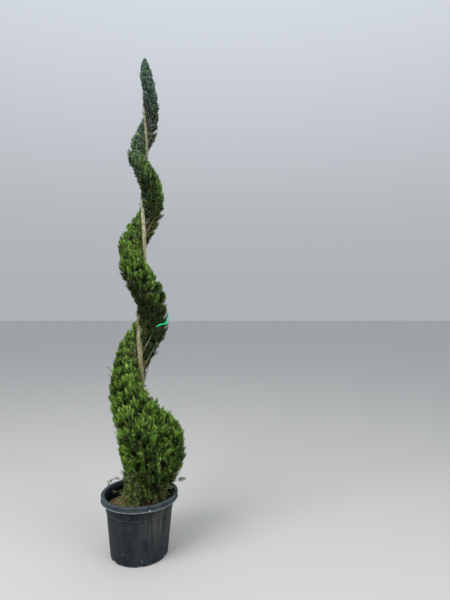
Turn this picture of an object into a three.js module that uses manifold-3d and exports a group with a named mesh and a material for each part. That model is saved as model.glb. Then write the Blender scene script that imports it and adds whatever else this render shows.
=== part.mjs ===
// Spiral topiary in a plastic nursery pot: one clipped ribbon of foliage that winds down a bare trunk.
// Millimetres, +Z up. The origin is the centre of the pot's flat underside, and -Y is the front.

import * as THREE from 'three';
import { mergeVertices } from 'three/addons/utils/BufferGeometryUtils.js';
import Module from 'manifold-3d';

// Clearance between two solids that touch on the real plant
const GAP = 0.3;
const CLEARANCE_STEP = 1.5 * GAP;

// Pot
const POT_HEIGHT = 361;
const POT_BASE_RADIUS = 169;
const POT_NECK_RADIUS = 198;
const POT_RIM_RADIUS = 225;
const POT_RIM_HEIGHT = 32;
const POT_LIP = 19.5;
const POT_WALL = 4;
const POT_FLOOR = 6;
const POT_STEP_DROP = 62;
const POT_STEP_DEPTH = 3;
const POT_EDGE = 3;
const POT_FOOT_EDGE = 5;
const POT_RIM_SKIN = 9;
const POT_SIDES = 40;
const DRAIN_COUNT = 6;
const DRAIN_FIRST_ANGLE = -77.5;
const DRAIN_WIDTH = 34;
const DRAIN_HEIGHT = 13;
const DRAIN_DEPTH = 24;

// Soil
const SOIL_TOP = 294;
const SOIL_SEAT_RADIUS = 48;
const SOIL_DISH = 5;

// Trunk
const TRUNK_FOOT = SOIL_TOP + GAP;
const TRUNK_TIP = 2905;
const TRUNK_TIP_RADIUS = 2.2;
const TRUNK_FOOT_RADIUS = 17.5;
const TRUNK_TAPER = 0.55;
const TRUNK_LEAN = 40;
const TRUNK_LEAN_FOOT = 350;
const TRUNK_LEAN_TOP = 2650;
const TRUNK_TIP_CURL = 26;
const TRUNK_CURL_FROM = 2550;
const TRUNK_CURL_FULL = 3055;
const TRUNK_BOW = 9;
const TRUNK_BOW_HEIGHT = 1980;
const TRUNK_BOW_SPREAD = 160;
const TRUNK_WAVE = 11;
const TRUNK_WAVE_FROM = 500;
const TRUNK_WAVE_FULL = 1000;
const TRUNK_RIBS = 3;
const TRUNK_RIB_DEPTH = 0.06;
const TRUNK_RIB_TWIST = 90;
const FLARE_RADIUS = 13;
const FLARE_HEIGHT = 42;
const FLARE_LOBES = 5;
const FLARE_LOBE_DEPTH = 0.3;
const TRUNK_SIDES = 10;
const TRUNK_STEP = 58;
const TRUNK_STEP_GROWTH = 1.25;

// Spiral of foliage: one turn is a full winding, counted downwards from the front of the tip
const SPIRAL_BOW = 4.3;
const BAND_TOP = 2884;
const BAND_TOP_PITCH = 456;
const BAND_TOP_GROWTH = 50;
const BAND_FOOT = 2710;
const BAND_FOOT_PITCH = 480;
const BAND_FOOT_GROWTH = 98;
const BAND_RADIUS = 84;
const BAND_RADIUS_GROWTH = 37;
const FULLNESS_ABOVE = 0.75;
const FULLNESS_BELOW = 1.9;
const BAND_START_TURN = -0.15;
const BAND_START_LENGTH = 0.4;
const FIRST_TURN = 0;
const LAST_TURN = 4.25;
const MASS_TURN = 0.25;
const STEPS_PER_MASS = 5;
const OUTER_STEPS = 8;
const INNER_STEPS = 5;
const CORE_RADIUS = 1.2;
const UNEVENNESS = 0.07;
// Each lump: its share, waves along the spiral, waves round the section, and phase
const LUMPS = [[0.5, 17.3, 2.1, 0], [0.3, 29.7, -3.7, 1], [0.2, 47.9, 5.3, 2]];

// Stretches where the hand clipping leaves the even spiral, from one turn to another with eased ends. Each adds
// to the band's width, top and foot in millimetres, and to its fullness above and below
const STRETCH_EASE = 0.1;
const SAG_BEHIND = { from: 0.28, to: 0.6, top: -25, foot: -75, below: -1.25 };
const SLIM_LOBE = { from: 0.66, to: 0.95, width: -28, top: -20, foot: 10, above: 0.45, below: -0.15 };
const FULL_SHOULDERS = { from: 1, to: 3.35, above: -0.36 };
const HOLLOW_MIDDLE = { from: 1.6, to: 2.6, width: -15, top: 12, foot: 28, below: 1 };
const SKIRT_FLANK = { from: 2.8, to: 4.5, foot: 80, below: -1 };
const STRETCHES = [SAG_BEHIND, SLIM_LOBE, FULL_SHOULDERS, HOLLOW_MIDDLE, SKIRT_FLANK];

// Skirt: the last winding swells to the right and then closes down on to the soil
const SKIRT_TURN = 3.25;
const SKIRT_RADIUS = 62;
const SKIRT_FROM_TURN = 2.85;
const SKIRT_FULL_TURN = 3.22;
const SKIRT_SINK = 38;
const SKIRT_SHRINK = 132;
const SKIRT_SHRINK_FROM_TURN = 3.3;
const SKIRT_SHRINK_FULL_TURN = 3.85;
const SKIRT_RISE = 210;
const SKIRT_RISE_FROM_TURN = 3.3;
const SKIRT_RISE_FULL_TURN = 3.7;
const SKIRT_FOOT = 322;
const SKIRT_HEIGHT = 165;
const SKIRT_FOOT_RADIUS = 105;
const SKIRT_FOOT_SLOPE = 1;
const SKIRT_TAIL_RADIUS = 50;
const SKIRT_TAIL_SLOPE = 0.15;

// Tip of the crown, above the first winding
const TIP_FOOT = 2715;
const TIP_TOP = 2966;
const TIP_HALF_WIDTH = 41;
const TIP_WIDEST = 0.42;
const TIP_OFFSET = 17;
const TIP_FOOT_OFFSET = 34;
const TIP_FORWARD = 0.3;
const TIP_FOOT_WIDTH = 0.12;
const TIP_TAPER = 1.7;
const TIP_BLUNTNESS = 0.02;
const TIP_RINGS = 9;
const TIP_SIDES = 12;

// Boughs that cross the open windows, from the trunk up into the band above
const BOUGH_TURNS = [0.34, 0.62, 0.85, 1.27, 1.55, 1.78, 2.2, 2.3, 2.41];
const BOUGH_REACH = 0.62;
const BOUGH_ENTRY = 0.3;
const BOUGH_RISE = 1.8;
const BOUGH_KNEE = 0.12;
const BOUGH_RADIUS = 5;
const BOUGH_TIP_RADIUS = 2.8;
const BOUGH_SIDES = 8;
const BOUGH_STEPS = 6;

// Ribbon tied round the band on the right
const RIBBON_FROM_TURN = 2.15;
const RIBBON_TO_TURN = 2.3;
const RIBBON_THICKNESS = 1.6;
const RIBBON_WIDTH = 15;
const RIBBON_HEIGHT = 1392;
const RIBBON_SLOPE = 27;
const RIBBON_INNER = 45;
const RIBBON_SLAB = 250;

const wasm = await Module();
wasm.setup();

const MATERIALS = {
  pot: new THREE.MeshStandardMaterial({ color: 0x2f3537, roughness: 0.55, metalness: 0 }),
  soil: new THREE.MeshStandardMaterial({ color: 0x46392c, roughness: 0.95, metalness: 0 }),
  bark: new THREE.MeshStandardMaterial({ color: 0x8d8468, roughness: 0.9, metalness: 0 }),
  foliage: new THREE.MeshStandardMaterial({ color: 0x40602a, roughness: 0.8, metalness: 0 }),
  ribbon: new THREE.MeshStandardMaterial({ color: 0x1fa56a, roughness: 0.35, metalness: 0 }),
};

const smooth = (from, to, value) => THREE.MathUtils.smoothstep(value, from, to);
const direction = (angle) => new THREE.Vector3(Math.cos(angle), Math.sin(angle), 0);

// Solids from meshes

// A closed solid skinned over a row of rings that all have the same number of points.
function loft(rings) {
  const sides = rings[0].length;
  const points = rings.flat();
  const triangles = [];
  for (let row = 0; row + 1 < rings.length; row++) {
    for (let side = 0; side < sides; side++) {
      const next = (side + 1) % sides;
      const [here, beside] = [row * sides + side, row * sides + next];
      triangles.push(here, beside, beside + sides, here, beside + sides, here + sides);
    }
  }
  for (const [row, flip] of [[0, true], [rings.length - 1, false]]) {
    const centre = points.length;
    const sum = rings[row].reduce((total, point) => total.add(point), new THREE.Vector3());
    points.push(sum.divideScalar(sides));
    for (let side = 0; side < sides; side++) {
      const here = row * sides + side;
      const next = row * sides + (side + 1) % sides;
      triangles.push(...(flip ? [centre, next, here] : [centre, here, next]));
    }
  }
  return new THREE.BufferGeometry().setFromPoints(points).setIndex(triangles);
}

// The solid of a closed mesh, whichever way its faces were wound.
function solidOf(geometry) {
  const bare = geometry.index ? geometry : geometry.clone();
  bare.deleteAttribute('normal');
  bare.deleteAttribute('uv');
  const merged = mergeVertices(bare, 1e-3);
  const triVerts = Uint32Array.from(merged.index.array);
  const vertProperties = Float32Array.from(merged.attributes.position.array);
  const solid = new wasm.Manifold(new wasm.Mesh({ numProp: 3, vertProperties, triVerts }));
  if (solid.volume() > 0) return solid;
  const flipped = Uint32Array.from(triVerts);
  for (let corner = 0; corner < flipped.length; corner += 3) flipped.subarray(corner, corner + 3).reverse();
  return new wasm.Manifold(new wasm.Mesh({ numProp: 3, vertProperties, triVerts: flipped }));
}

function meshOf(name, solid, material) {
  const { vertProperties, triVerts } = solid.getMesh();
  const geometry = new THREE.BufferGeometry();
  geometry.setAttribute('position', new THREE.BufferAttribute(Float32Array.from(vertProperties), 3));
  geometry.setIndex(new THREE.BufferAttribute(Uint32Array.from(triVerts), 1));
  const mesh = new THREE.Mesh(geometry, material);
  mesh.name = name;
  return mesh;
}

// Small steps to the six sides and the eight corners of a cube.
function clearanceSteps() {
  const steps = [];
  for (const side of [-1, 1]) {
    steps.push([side, 0, 0], [0, side, 0], [0, 0, side]);
    for (const y of [-1, 1]) steps.push([side, y, -1], [side, y, 1]);
  }
  return steps.map((step) => new THREE.Vector3(...step).setLength(CLEARANCE_STEP));
}

// What is left of a solid when its neighbour is taken away with a clearance to every side.
function clearOf(solid, neighbour) {
  return clearanceSteps().reduce(
    (left, step) => left.subtract(neighbour.translate(step.x, step.y, step.z)), solid.subtract(neighbour));
}

// A solid turned about Z from a closed outline of [radius, height] points.
function turned(outline) {
  const closed = [...outline, outline[0]].map(([radius, height]) => new THREE.Vector2(radius, height));
  return solidOf(new THREE.LatheGeometry(closed, POT_SIDES).rotateX(Math.PI / 2));
}

// Centre lines

// What all the stretches together add to one measure of the band at a turn.
function stretched(measure, turn) {
  return STRETCHES.reduce((sum, { from, to, [measure]: extra = 0 }) => {
    const begun = smooth(from - STRETCH_EASE, from + STRETCH_EASE, turn);
    const ended = smooth(to - STRETCH_EASE, to + STRETCH_EASE, turn);
    return sum + extra * begun * (1 - ended);
  }, 0);
}

const bandAngle = (turn) => Math.PI * (1.5 + 2 * turn);
const bandTop = (turn) => Math.max(SKIRT_FOOT + SKIRT_HEIGHT,
  BAND_TOP - BAND_TOP_PITCH * turn - BAND_TOP_GROWTH * turn * turn + stretched('top', turn)
  - SKIRT_SINK * smooth(SKIRT_FROM_TURN, SKIRT_FULL_TURN, turn)
  + SKIRT_RISE * smooth(SKIRT_RISE_FROM_TURN, SKIRT_RISE_FULL_TURN, turn));
const bandFoot = (turn) => Math.max(SKIRT_FOOT,
  BAND_FOOT - BAND_FOOT_PITCH * turn - BAND_FOOT_GROWTH * turn * turn + stretched('foot', turn));
const skirtTail = (turn) => smooth(SKIRT_SHRINK_FROM_TURN, SKIRT_SHRINK_FULL_TURN, turn);
const bandRadius = (turn) => smooth(BAND_START_TURN, BAND_START_TURN + BAND_START_LENGTH, turn)
  * (BAND_RADIUS + BAND_RADIUS_GROWTH * turn) + stretched('width', turn)
  + SKIRT_RADIUS * smooth(SKIRT_FROM_TURN, SKIRT_FULL_TURN, turn) - SKIRT_SHRINK * skirtTail(turn);

// How far out the foliage may reach at a height near the soil, so that it stays inside the pot's rim.
function footReach(turn, height) {
  const rise = height - SKIRT_FOOT;
  const wide = SKIRT_FOOT_RADIUS + SKIRT_FOOT_SLOPE * rise;
  const narrow = SKIRT_TAIL_RADIUS + SKIRT_TAIL_SLOPE * rise;
  return THREE.MathUtils.lerp(wide, narrow, skirtTail(turn));
}

// The turn at which the band's middle passes a height.
function turnAt(height) {
  const drop = Math.max(0, (BAND_TOP + BAND_FOOT) / 2 - height);
  const pitch = (BAND_TOP_PITCH + BAND_FOOT_PITCH) / 2;
  const growth = (BAND_TOP_GROWTH + BAND_FOOT_GROWTH) / 2;
  return (Math.sqrt(pitch ** 2 + 4 * growth * drop) - pitch) / (2 * growth);
}

// The line that the spiral winds about: it bows slightly to the right towards the top.
const spiralCentre = (height) =>
  new THREE.Vector3(SPIRAL_BOW * Math.max(0, (height - TRUNK_LEAN_FOOT) / 1000) ** 2, 0, height);

// The trunk leans to the right, bows once at half height and sways away from the band at each winding.
function trunkCentre(height) {
  const rise = Math.max(0, (height - TRUNK_LEAN_FOOT) / (TRUNK_LEAN_TOP - TRUNK_LEAN_FOOT));
  const curl = TRUNK_TIP_CURL * smooth(TRUNK_CURL_FROM, TRUNK_CURL_FULL, height);
  const bow = TRUNK_BOW * Math.exp(-(((height - TRUNK_BOW_HEIGHT) / TRUNK_BOW_SPREAD) ** 2));
  const wave = TRUNK_WAVE * smooth(TRUNK_WAVE_FROM, TRUNK_WAVE_FULL, height);
  const sway = direction(bandAngle(turnAt(height))).multiplyScalar(-wave);
  return new THREE.Vector3(TRUNK_LEAN * rise * rise - curl + bow, 0, height).add(sway);
}

function trunkRadius(height) {
  const left = Math.max(0, (TRUNK_TIP - height) / (TRUNK_TIP - TRUNK_FOOT));
  return TRUNK_TIP_RADIUS + (TRUNK_FOOT_RADIUS - TRUNK_TIP_RADIUS) * left ** TRUNK_TAPER;
}

// Pot, soil and trunk

const potRimFoot = POT_HEIGHT - POT_RIM_HEIGHT;
const potStepHeight = potRimFoot - POT_STEP_DROP;
const potWallAt = (height) =>
  THREE.MathUtils.mapLinear(height, 0, potRimFoot, POT_BASE_RADIUS, POT_NECK_RADIUS);

// The wall with its step, and a rim that hangs over the neck and is hollow from below.
function potSolid() {
  const innerNeck = POT_NECK_RADIUS - POT_WALL;
  const innerLip = POT_RIM_RADIUS - POT_LIP;
  const stepRadius = potWallAt(potStepHeight);
  const rimCeiling = POT_HEIGHT - POT_RIM_SKIN;
  const body = turned([
    [0, 0],
    [POT_BASE_RADIUS - POT_FOOT_EDGE, 0],
    [POT_BASE_RADIUS, POT_FOOT_EDGE],
    [stepRadius - POT_STEP_DEPTH, potStepHeight],
    [stepRadius, potStepHeight + POT_EDGE],
    [POT_NECK_RADIUS, potRimFoot],
    [POT_NECK_RADIUS + POT_EDGE, rimCeiling],
    [POT_RIM_RADIUS - POT_WALL - POT_EDGE, rimCeiling],
    [POT_RIM_RADIUS - POT_WALL, potRimFoot],
    [POT_RIM_RADIUS, potRimFoot],
    [POT_RIM_RADIUS, POT_HEIGHT - POT_EDGE],
    [POT_RIM_RADIUS - POT_EDGE, POT_HEIGHT],
    [innerLip + POT_EDGE, POT_HEIGHT],
    [innerLip, POT_HEIGHT - POT_EDGE],
    [innerNeck, potRimFoot],
    [stepRadius - POT_STEP_DEPTH - POT_WALL, potStepHeight],
    [potWallAt(POT_FLOOR) - POT_WALL, POT_FLOOR],
    [0, POT_FLOOR],
  ]);
  return Array.from({ length: DRAIN_COUNT }, (_, index) => drainHole(index))
    .reduce((solid, hole) => solid.subtract(hole), body);
}

// A drainage notch through the lower edge of the pot.
function drainHole(index) {
  const angle = THREE.MathUtils.degToRad(DRAIN_FIRST_ANGLE + index * 360 / DRAIN_COUNT);
  const box = new THREE.BoxGeometry(DRAIN_DEPTH, DRAIN_WIDTH, 2 * DRAIN_HEIGHT);
  box.translate(POT_BASE_RADIUS, 0, 0).rotateZ(angle);
  return solidOf(box);
}

// The compost, with a flat seat under the trunk and a shallow fall towards the wall.
function soilSolid() {
  const foot = potWallAt(POT_FLOOR) - POT_WALL - POT_STEP_DEPTH - GAP;
  const edge = potWallAt(potStepHeight) - POT_WALL - POT_STEP_DEPTH - 2 * GAP;
  return turned([
    [0, POT_FLOOR + GAP],
    [foot, POT_FLOOR + GAP],
    [edge, potStepHeight - GAP],
    [edge, SOIL_TOP - SOIL_DISH],
    [SOIL_SEAT_RADIUS, SOIL_TOP],
    [0, SOIL_TOP],
  ]);
}

// The trunk, or the room that its neighbours leave round it when clearance is more than nothing.
function trunkSolid(clearance = 0) {
  const foot = TRUNK_FOOT - clearance;
  const tip = TRUNK_TIP + clearance;
  const steps = Math.round((tip - foot) / TRUNK_STEP);
  const rings = [];
  for (let step = 0; step <= steps; step++) {
    const height = foot + (tip - foot) * (step / steps) ** TRUNK_STEP_GROWTH;
    const flare = Math.exp(-Math.max(0, height - TRUNK_FOOT) / FLARE_HEIGHT);
    const ring = [];
    for (let side = 0; side < TRUNK_SIDES; side++) {
      const angle = 2 * Math.PI * side / TRUNK_SIDES;
      const ribs = 1 + TRUNK_RIB_DEPTH * Math.sin(TRUNK_RIBS * angle + height / TRUNK_RIB_TWIST);
      const lobes = FLARE_RADIUS * flare * (1 + FLARE_LOBE_DEPTH * Math.cos(FLARE_LOBES * angle));
      const radius = trunkRadius(height) * ribs + lobes + clearance / Math.cos(Math.PI / TRUNK_SIDES);
      ring.push(trunkCentre(height).addScaledVector(direction(angle), radius));
    }
    rings.push(ring);
  }
  return solidOf(loft(rings));
}

// Foliage

// Deterministic lumps in the clipped surface, between -1 and 1.
function lump(turn, tilt) {
  return LUMPS.reduce((sum, [share, along, round, phase]) =>
    sum + share * Math.sin(along * turn + round * tilt + phase), 0);
}

// A cross-section of the band in the upright half-plane at its turn: out round the clipped edge from the
// top to the foot, then back up inside the trunk.
function bandSection(turn, swell, shift) {
  const outward = direction(bandAngle(turn));
  const along = direction(bandAngle(turn) + Math.PI / 2).multiplyScalar(shift);
  const middle = (bandTop(turn) + bandFoot(turn)) / 2;
  const half = (bandTop(turn) - bandFoot(turn)) / 2;
  const ring = [];
  for (let step = 0; step <= OUTER_STEPS; step++) {
    const tilt = Math.PI * (0.5 - step / OUTER_STEPS);
    const fullness = tilt > 0
      ? FULLNESS_ABOVE + stretched('above', turn)
      : FULLNESS_BELOW + stretched('below', turn);
    const width = Math.max(0, Math.cos(tilt)) ** fullness;
    const height = middle + half * Math.sin(tilt);
    const full = bandRadius(turn) * width * (1 + UNEVENNESS * lump(turn, tilt));
    const reach = Math.min(full, footReach(turn, height));
    const centre = trunkCentre(height).lerp(spiralCentre(height), width);
    const point = centre.addScaledVector(outward, CORE_RADIUS + reach + swell * Math.cos(tilt));
    point.z += swell * Math.sin(tilt);
    ring.push(point.add(along));
  }
  for (let step = 1; step < INNER_STEPS; step++) {
    const height = middle - half + 2 * half * step / INNER_STEPS;
    ring.push(trunkCentre(height).addScaledVector(outward, CORE_RADIUS).add(along));
  }
  return ring;
}

// A stretch of the band between two turns, grown by swell on every side.
function bandSolid(from, to, swell = 0) {
  const steps = Math.max(1, Math.round((to - from) / MASS_TURN * STEPS_PER_MASS));
  const rings = [];
  for (let step = 0; step <= steps; step++) {
    const share = step / steps;
    const shift = swell === 0 ? GAP / 2 * (1 - 2 * share) : 0;
    rings.push(bandSection(from + (to - from) * share, swell, shift));
  }
  return solidOf(loft(rings));
}

// The pointed mass round the trunk's tip.
function tipSolid() {
  const rings = [];
  for (let step = 0; step <= TIP_RINGS; step++) {
    const share = step / TIP_RINGS;
    const height = THREE.MathUtils.lerp(TIP_FOOT, TIP_TOP, share);
    const below = Math.min(1, share / TIP_WIDEST);
    const above = Math.max(0, (share - TIP_WIDEST) / (1 - TIP_WIDEST));
    const swelling = Math.sin(Math.PI / 2 * THREE.MathUtils.lerp(TIP_FOOT_WIDTH, 1, below));
    const width = TIP_HALF_WIDTH * swelling * (1 + TIP_BLUNTNESS - above ** TIP_TAPER);
    const offset = TIP_OFFSET * (1 - above) + TIP_FOOT_OFFSET * (1 - below);
    const centre = spiralCentre(height).add(new THREE.Vector3(offset, -TIP_FORWARD * offset, 0));
    const ring = [];
    for (let side = 0; side < TIP_SIDES; side++) {
      const angle = 2 * Math.PI * side / TIP_SIDES;
      const radius = width * (1 + UNEVENNESS * lump(2 * share, angle));
      ring.push(centre.clone().addScaledVector(direction(angle), radius));
    }
    rings.push(ring);
  }
  return solidOf(loft(rings));
}

// Boughs and ribbon

// A tapering limb from inside the trunk up into the band, before either end is cut to its neighbour.
function boughSolid(turn) {
  const outward = direction(bandAngle(turn));
  const reach = BOUGH_REACH * bandRadius(turn);
  const high = THREE.MathUtils.lerp(bandFoot(turn), bandTop(turn), BOUGH_ENTRY);
  const low = high - BOUGH_RISE * reach;
  const start = trunkCentre(low);
  const end = spiralCentre(high).addScaledVector(outward, reach);
  const knee = start.clone().lerp(end, 0.5).addScaledVector(outward, BOUGH_KNEE * reach);
  const line = new THREE.QuadraticBezierCurve3(start, knee, end);
  const across = new THREE.Vector3().crossVectors(outward, new THREE.Vector3(0, 0, 1)).normalize();
  const rings = [];
  for (let step = 0; step <= BOUGH_STEPS; step++) {
    const share = step / BOUGH_STEPS;
    const centre = line.getPoint(share);
    const up = new THREE.Vector3().crossVectors(line.getTangent(share), across).normalize();
    const radius = THREE.MathUtils.lerp(BOUGH_RADIUS, BOUGH_TIP_RADIUS, share);
    const ring = [];
    for (let side = 0; side < BOUGH_SIDES; side++) {
      const angle = 2 * Math.PI * side / BOUGH_SIDES;
      ring.push(centre.clone().addScaledVector(across, radius * Math.cos(angle))
        .addScaledVector(up, radius * Math.sin(angle)));
    }
    rings.push(ring);
  }
  return solidOf(loft(rings));
}

// A thin strip that lies on the clipped surface: a slanting slab of the grown band, hollowed by the masses.
function ribbonSolid(nearMasses) {
  const grown = bandSolid(RIBBON_FROM_TURN, RIBBON_TO_TURN, RIBBON_THICKNESS + 2 * GAP);
  const slab = new THREE.BoxGeometry(RIBBON_SLAB, 2 * RIBBON_SLAB, RIBBON_WIDTH);
  slab.translate(RIBBON_INNER + RIBBON_SLAB / 2, 0, 0);
  slab.rotateX(THREE.MathUtils.degToRad(RIBBON_SLOPE)).translate(0, 0, RIBBON_HEIGHT);
  return nearMasses.reduce(clearOf, grown).intersect(solidOf(slab));
}

// The plant

const label = (name, index) => `${name}_${String(index + 1).padStart(2, '0')}`;
const massMiddle = (index) => FIRST_TURN + (index + 0.5) * MASS_TURN;
const massesNear = (masses, turn, distance) =>
  masses.filter((_, index) => Math.abs(massMiddle(index) - turn) < distance);

const plant = new THREE.Group();
plant.add(meshOf('pot', potSolid(), MATERIALS.pot));
plant.add(meshOf('soil', soilSolid(), MATERIALS.soil));
plant.add(meshOf('trunk', trunkSolid(), MATERIALS.bark));

const trunkRoom = trunkSolid(GAP);
const tip = tipSolid().subtract(trunkRoom);
plant.add(meshOf('foliage_tip', tip, MATERIALS.foliage));

const massCount = Math.round((LAST_TURN - FIRST_TURN) / MASS_TURN);
const masses = [];
for (let index = 0; index < massCount; index++) {
  const from = FIRST_TURN + index * MASS_TURN;
  const whole = bandSolid(from, from + MASS_TURN).subtract(trunkRoom);
  const above = from < SKIRT_TURN ? [] : massesNear(masses, massMiddle(index) - 1, 1.5 * MASS_TURN);
  const neighbours = index < 2 ? [tip] : above;
  masses.push(neighbours.reduce(clearOf, whole));
}
masses.forEach((mass, index) => plant.add(meshOf(label('foliage_band', index), mass, MATERIALS.foliage)));

BOUGH_TURNS.forEach((turn, index) => {
  const whole = boughSolid(turn).subtract(trunkRoom);
  const bough = massesNear(masses, turn, 1.5 * MASS_TURN).reduce(clearOf, whole);
  plant.add(meshOf(label('bough', index), bough, MATERIALS.bark));
});

const ribbonTurn = (RIBBON_FROM_TURN + RIBBON_TO_TURN) / 2;
plant.add(meshOf('ribbon', ribbonSolid(massesNear(masses, ribbonTurn, 1.5 * MASS_TURN)), MATERIALS.ribbon));

export default plant;
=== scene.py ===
"""Looks of a spiral topiary in its pot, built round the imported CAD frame.

Everything is in metres, with +Z up, the pot's underside on z = 0 and its axis on the Z axis. The crown
follows the same spiral formulas as the CAD masses, which it replaces with boughs, twigs and leaf sprays
that grow on from the trunk by a seeded branching rule.
"""

import logging
from dataclasses import dataclass, field
from enum import Enum
from typing import Any, Callable, Sequence

import bpy
import numpy as np
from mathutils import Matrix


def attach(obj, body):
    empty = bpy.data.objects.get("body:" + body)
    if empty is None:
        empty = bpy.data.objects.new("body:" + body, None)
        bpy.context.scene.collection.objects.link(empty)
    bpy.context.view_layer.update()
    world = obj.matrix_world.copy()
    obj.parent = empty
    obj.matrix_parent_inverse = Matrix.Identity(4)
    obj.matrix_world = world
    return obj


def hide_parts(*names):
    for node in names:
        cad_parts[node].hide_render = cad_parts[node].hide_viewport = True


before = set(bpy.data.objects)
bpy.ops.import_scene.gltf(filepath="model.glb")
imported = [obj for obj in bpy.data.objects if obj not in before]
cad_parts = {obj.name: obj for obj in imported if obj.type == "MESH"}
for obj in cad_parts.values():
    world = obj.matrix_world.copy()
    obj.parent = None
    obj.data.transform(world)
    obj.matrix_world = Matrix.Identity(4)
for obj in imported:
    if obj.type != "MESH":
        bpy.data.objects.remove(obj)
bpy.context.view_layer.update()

Array = np.ndarray
Socket = bpy.types.NodeSocket
Finish = bpy.types.Material
LOG = logging.getLogger("topiary")
UP = np.array([0.0, 0.0, 1.0])
SEED = 4207

# One over g and one over g squared, where g cubed is g plus one: steps that fill a square evenly
EVEN_STEPS = (0.7548776662, 0.5698402910)


# Arithmetic on whole arrays

def smooth(start: float, end: float, value: Array) -> Array:
    """Eases from 0 at start to 1 at end: x squared times three minus two x."""
    share = np.clip((np.asarray(value, float) - start) / (end - start), 0.0, 1.0)
    return share * share * (3.0 - 2.0 * share)


def mix(first: Array, second: Array, share: Array) -> Array:
    """The straight blend from first to second."""
    return first + (second - first) * share


def unit(vectors: Array) -> Array:
    """The vectors at length one."""
    return vectors / np.maximum(np.linalg.norm(vectors, axis=-1, keepdims=True), 1e-12)


def points_at(x: Array, y: Array, z: Array) -> Array:
    """Points from their coordinates, spread to one shape."""
    return np.stack(np.broadcast_arrays(x, y, z), axis=-1)


def outward(angle: Array) -> Array:
    """Level unit vectors at the given angles."""
    return points_at(np.cos(angle), np.sin(angle), 0.0)


def round_angles(count: int) -> Array:
    """Evenly spaced angles round a circle."""
    return 2 * np.pi * np.arange(count) / count


def angle_between(first: Array, second: Array) -> Array:
    """How far the first direction is turned from the second, from minus to plus half a turn."""
    return np.angle(np.exp(1j * (first - second)))


def bell(distance: Array, spread: float) -> Array:
    """1 at no distance and less to both sides: e to minus the square of the distance over the spread."""
    return np.exp(-(distance / spread) ** 2)


def even(order: Array, step: float, jitter: Array = 0.0) -> Array:
    """Shares from 0 to 1 that lie evenly apart: the order times the step, less its whole part."""
    return np.mod(0.5 + order * step + jitter, 1.0)


def ripple(points: Array, seed: int, scale: float, waves: int = 14) -> Array:
    """A smooth random relief of about -1 to 1: the mean of sine waves in random directions.

    Args:
        points: Points, three numbers each in the last axis.
        seed: Which relief.
        scale: The length over which it changes, in the points' unit.
        waves: How many waves are summed.

    Returns:
        One height for each point.
    """
    rng = np.random.default_rng(seed)
    total = np.zeros(points.shape[:-1])
    for vector, phase in zip(rng.normal(size=(waves, 3)), rng.uniform(0, 2 * np.pi, waves)):
        total += np.sin(points @ (vector * 2.4 / scale) + phase)
    return total / np.sqrt(waves)


def across(directions: Array, near: Array) -> Array:
    """Unit vectors square to the directions, as near as can be to the wanted ones."""
    along = np.sum(near * directions, axis=-1, keepdims=True)
    return unit(near - along * directions)


# Groups of arrays that describe many things of one kind, one row for each

def picked(group: Any, chosen: Array) -> Any:
    """The chosen rows of a group."""
    return type(group)(*(getattr(group, name)[chosen] for name in group.__dataclass_fields__))


def together(groups: Sequence[Any]) -> Any:
    """Several groups of one kind as one."""
    names = groups[0].__dataclass_fields__
    return type(groups[0])(*(np.concatenate([getattr(group, name) for group in groups]) for name in names))


# Meshes from arrays

@dataclass
class Skin:
    """Vertices and faces in the making: every face array holds polygons of one size."""

    points: Array
    faces: list[Array]
    tints: list[Array]

    def triangle_count(self) -> int:
        """How many triangles the faces make."""
        return int(sum(len(array) * (array.shape[1] - 2) for array in self.faces))


def join(skins: Sequence[Skin]) -> Skin:
    """All the skins as one, each with its own vertices.

    Args:
        skins: The skins.

    Returns:
        One skin.
    """
    points, faces, tints, start = [], [], [], 0
    for skin in skins:
        points.append(skin.points)
        faces += [array + start for array in skin.faces]
        tints += skin.tints
        start += len(skin.points)
    return Skin(np.concatenate(points), faces, tints)


def grid_faces(rows: int, columns: int) -> Array:
    """Quads between neighbouring rows of points, each row closed round.

    Args:
        rows: How many rows.
        columns: How many points in each.

    Returns:
        The faces.
    """
    row = np.arange(rows - 1)[:, None] * columns
    here = np.arange(columns)[None, :]
    beside = (here + 1) % columns
    quads = np.stack([row + here, row + beside, row + columns + beside, row + columns + here], axis=-1)
    return quads.reshape(-1, 4)


def copied(faces: Array, count: int, points: int) -> Array:
    """The faces of like skins, each one's points after those of the skin before it."""
    return (faces[None] + (np.arange(count) * points)[:, None, None]).reshape(-1, faces.shape[1])


def closed_skins(rings: Array, tint: int | Array = 0) -> Skin:
    """Closed skins over rings of points, each from its first ring's flat cap to its last one's.

    Args:
        rings: Points in the shape (skins, rings, sides, 3), counterclockwise seen from the last ring.
        tint: The material's place in the piece, or one for each skin.

    Returns:
        All of them as one skin, with its faces outwards.
    """
    count, steps, sides = rings.shape[:3]
    cap = np.arange(sides)[None, :]
    kinds = (grid_faces(steps, sides), cap[:, ::-1], cap + (steps - 1) * sides)
    tints = np.broadcast_to(np.asarray(tint, np.int32), (count,))
    return Skin(rings.reshape(-1, 3), [copied(faces, count, steps * sides) for faces in kinds],
                [np.repeat(tints, len(faces)) for faces in kinds])


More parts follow.
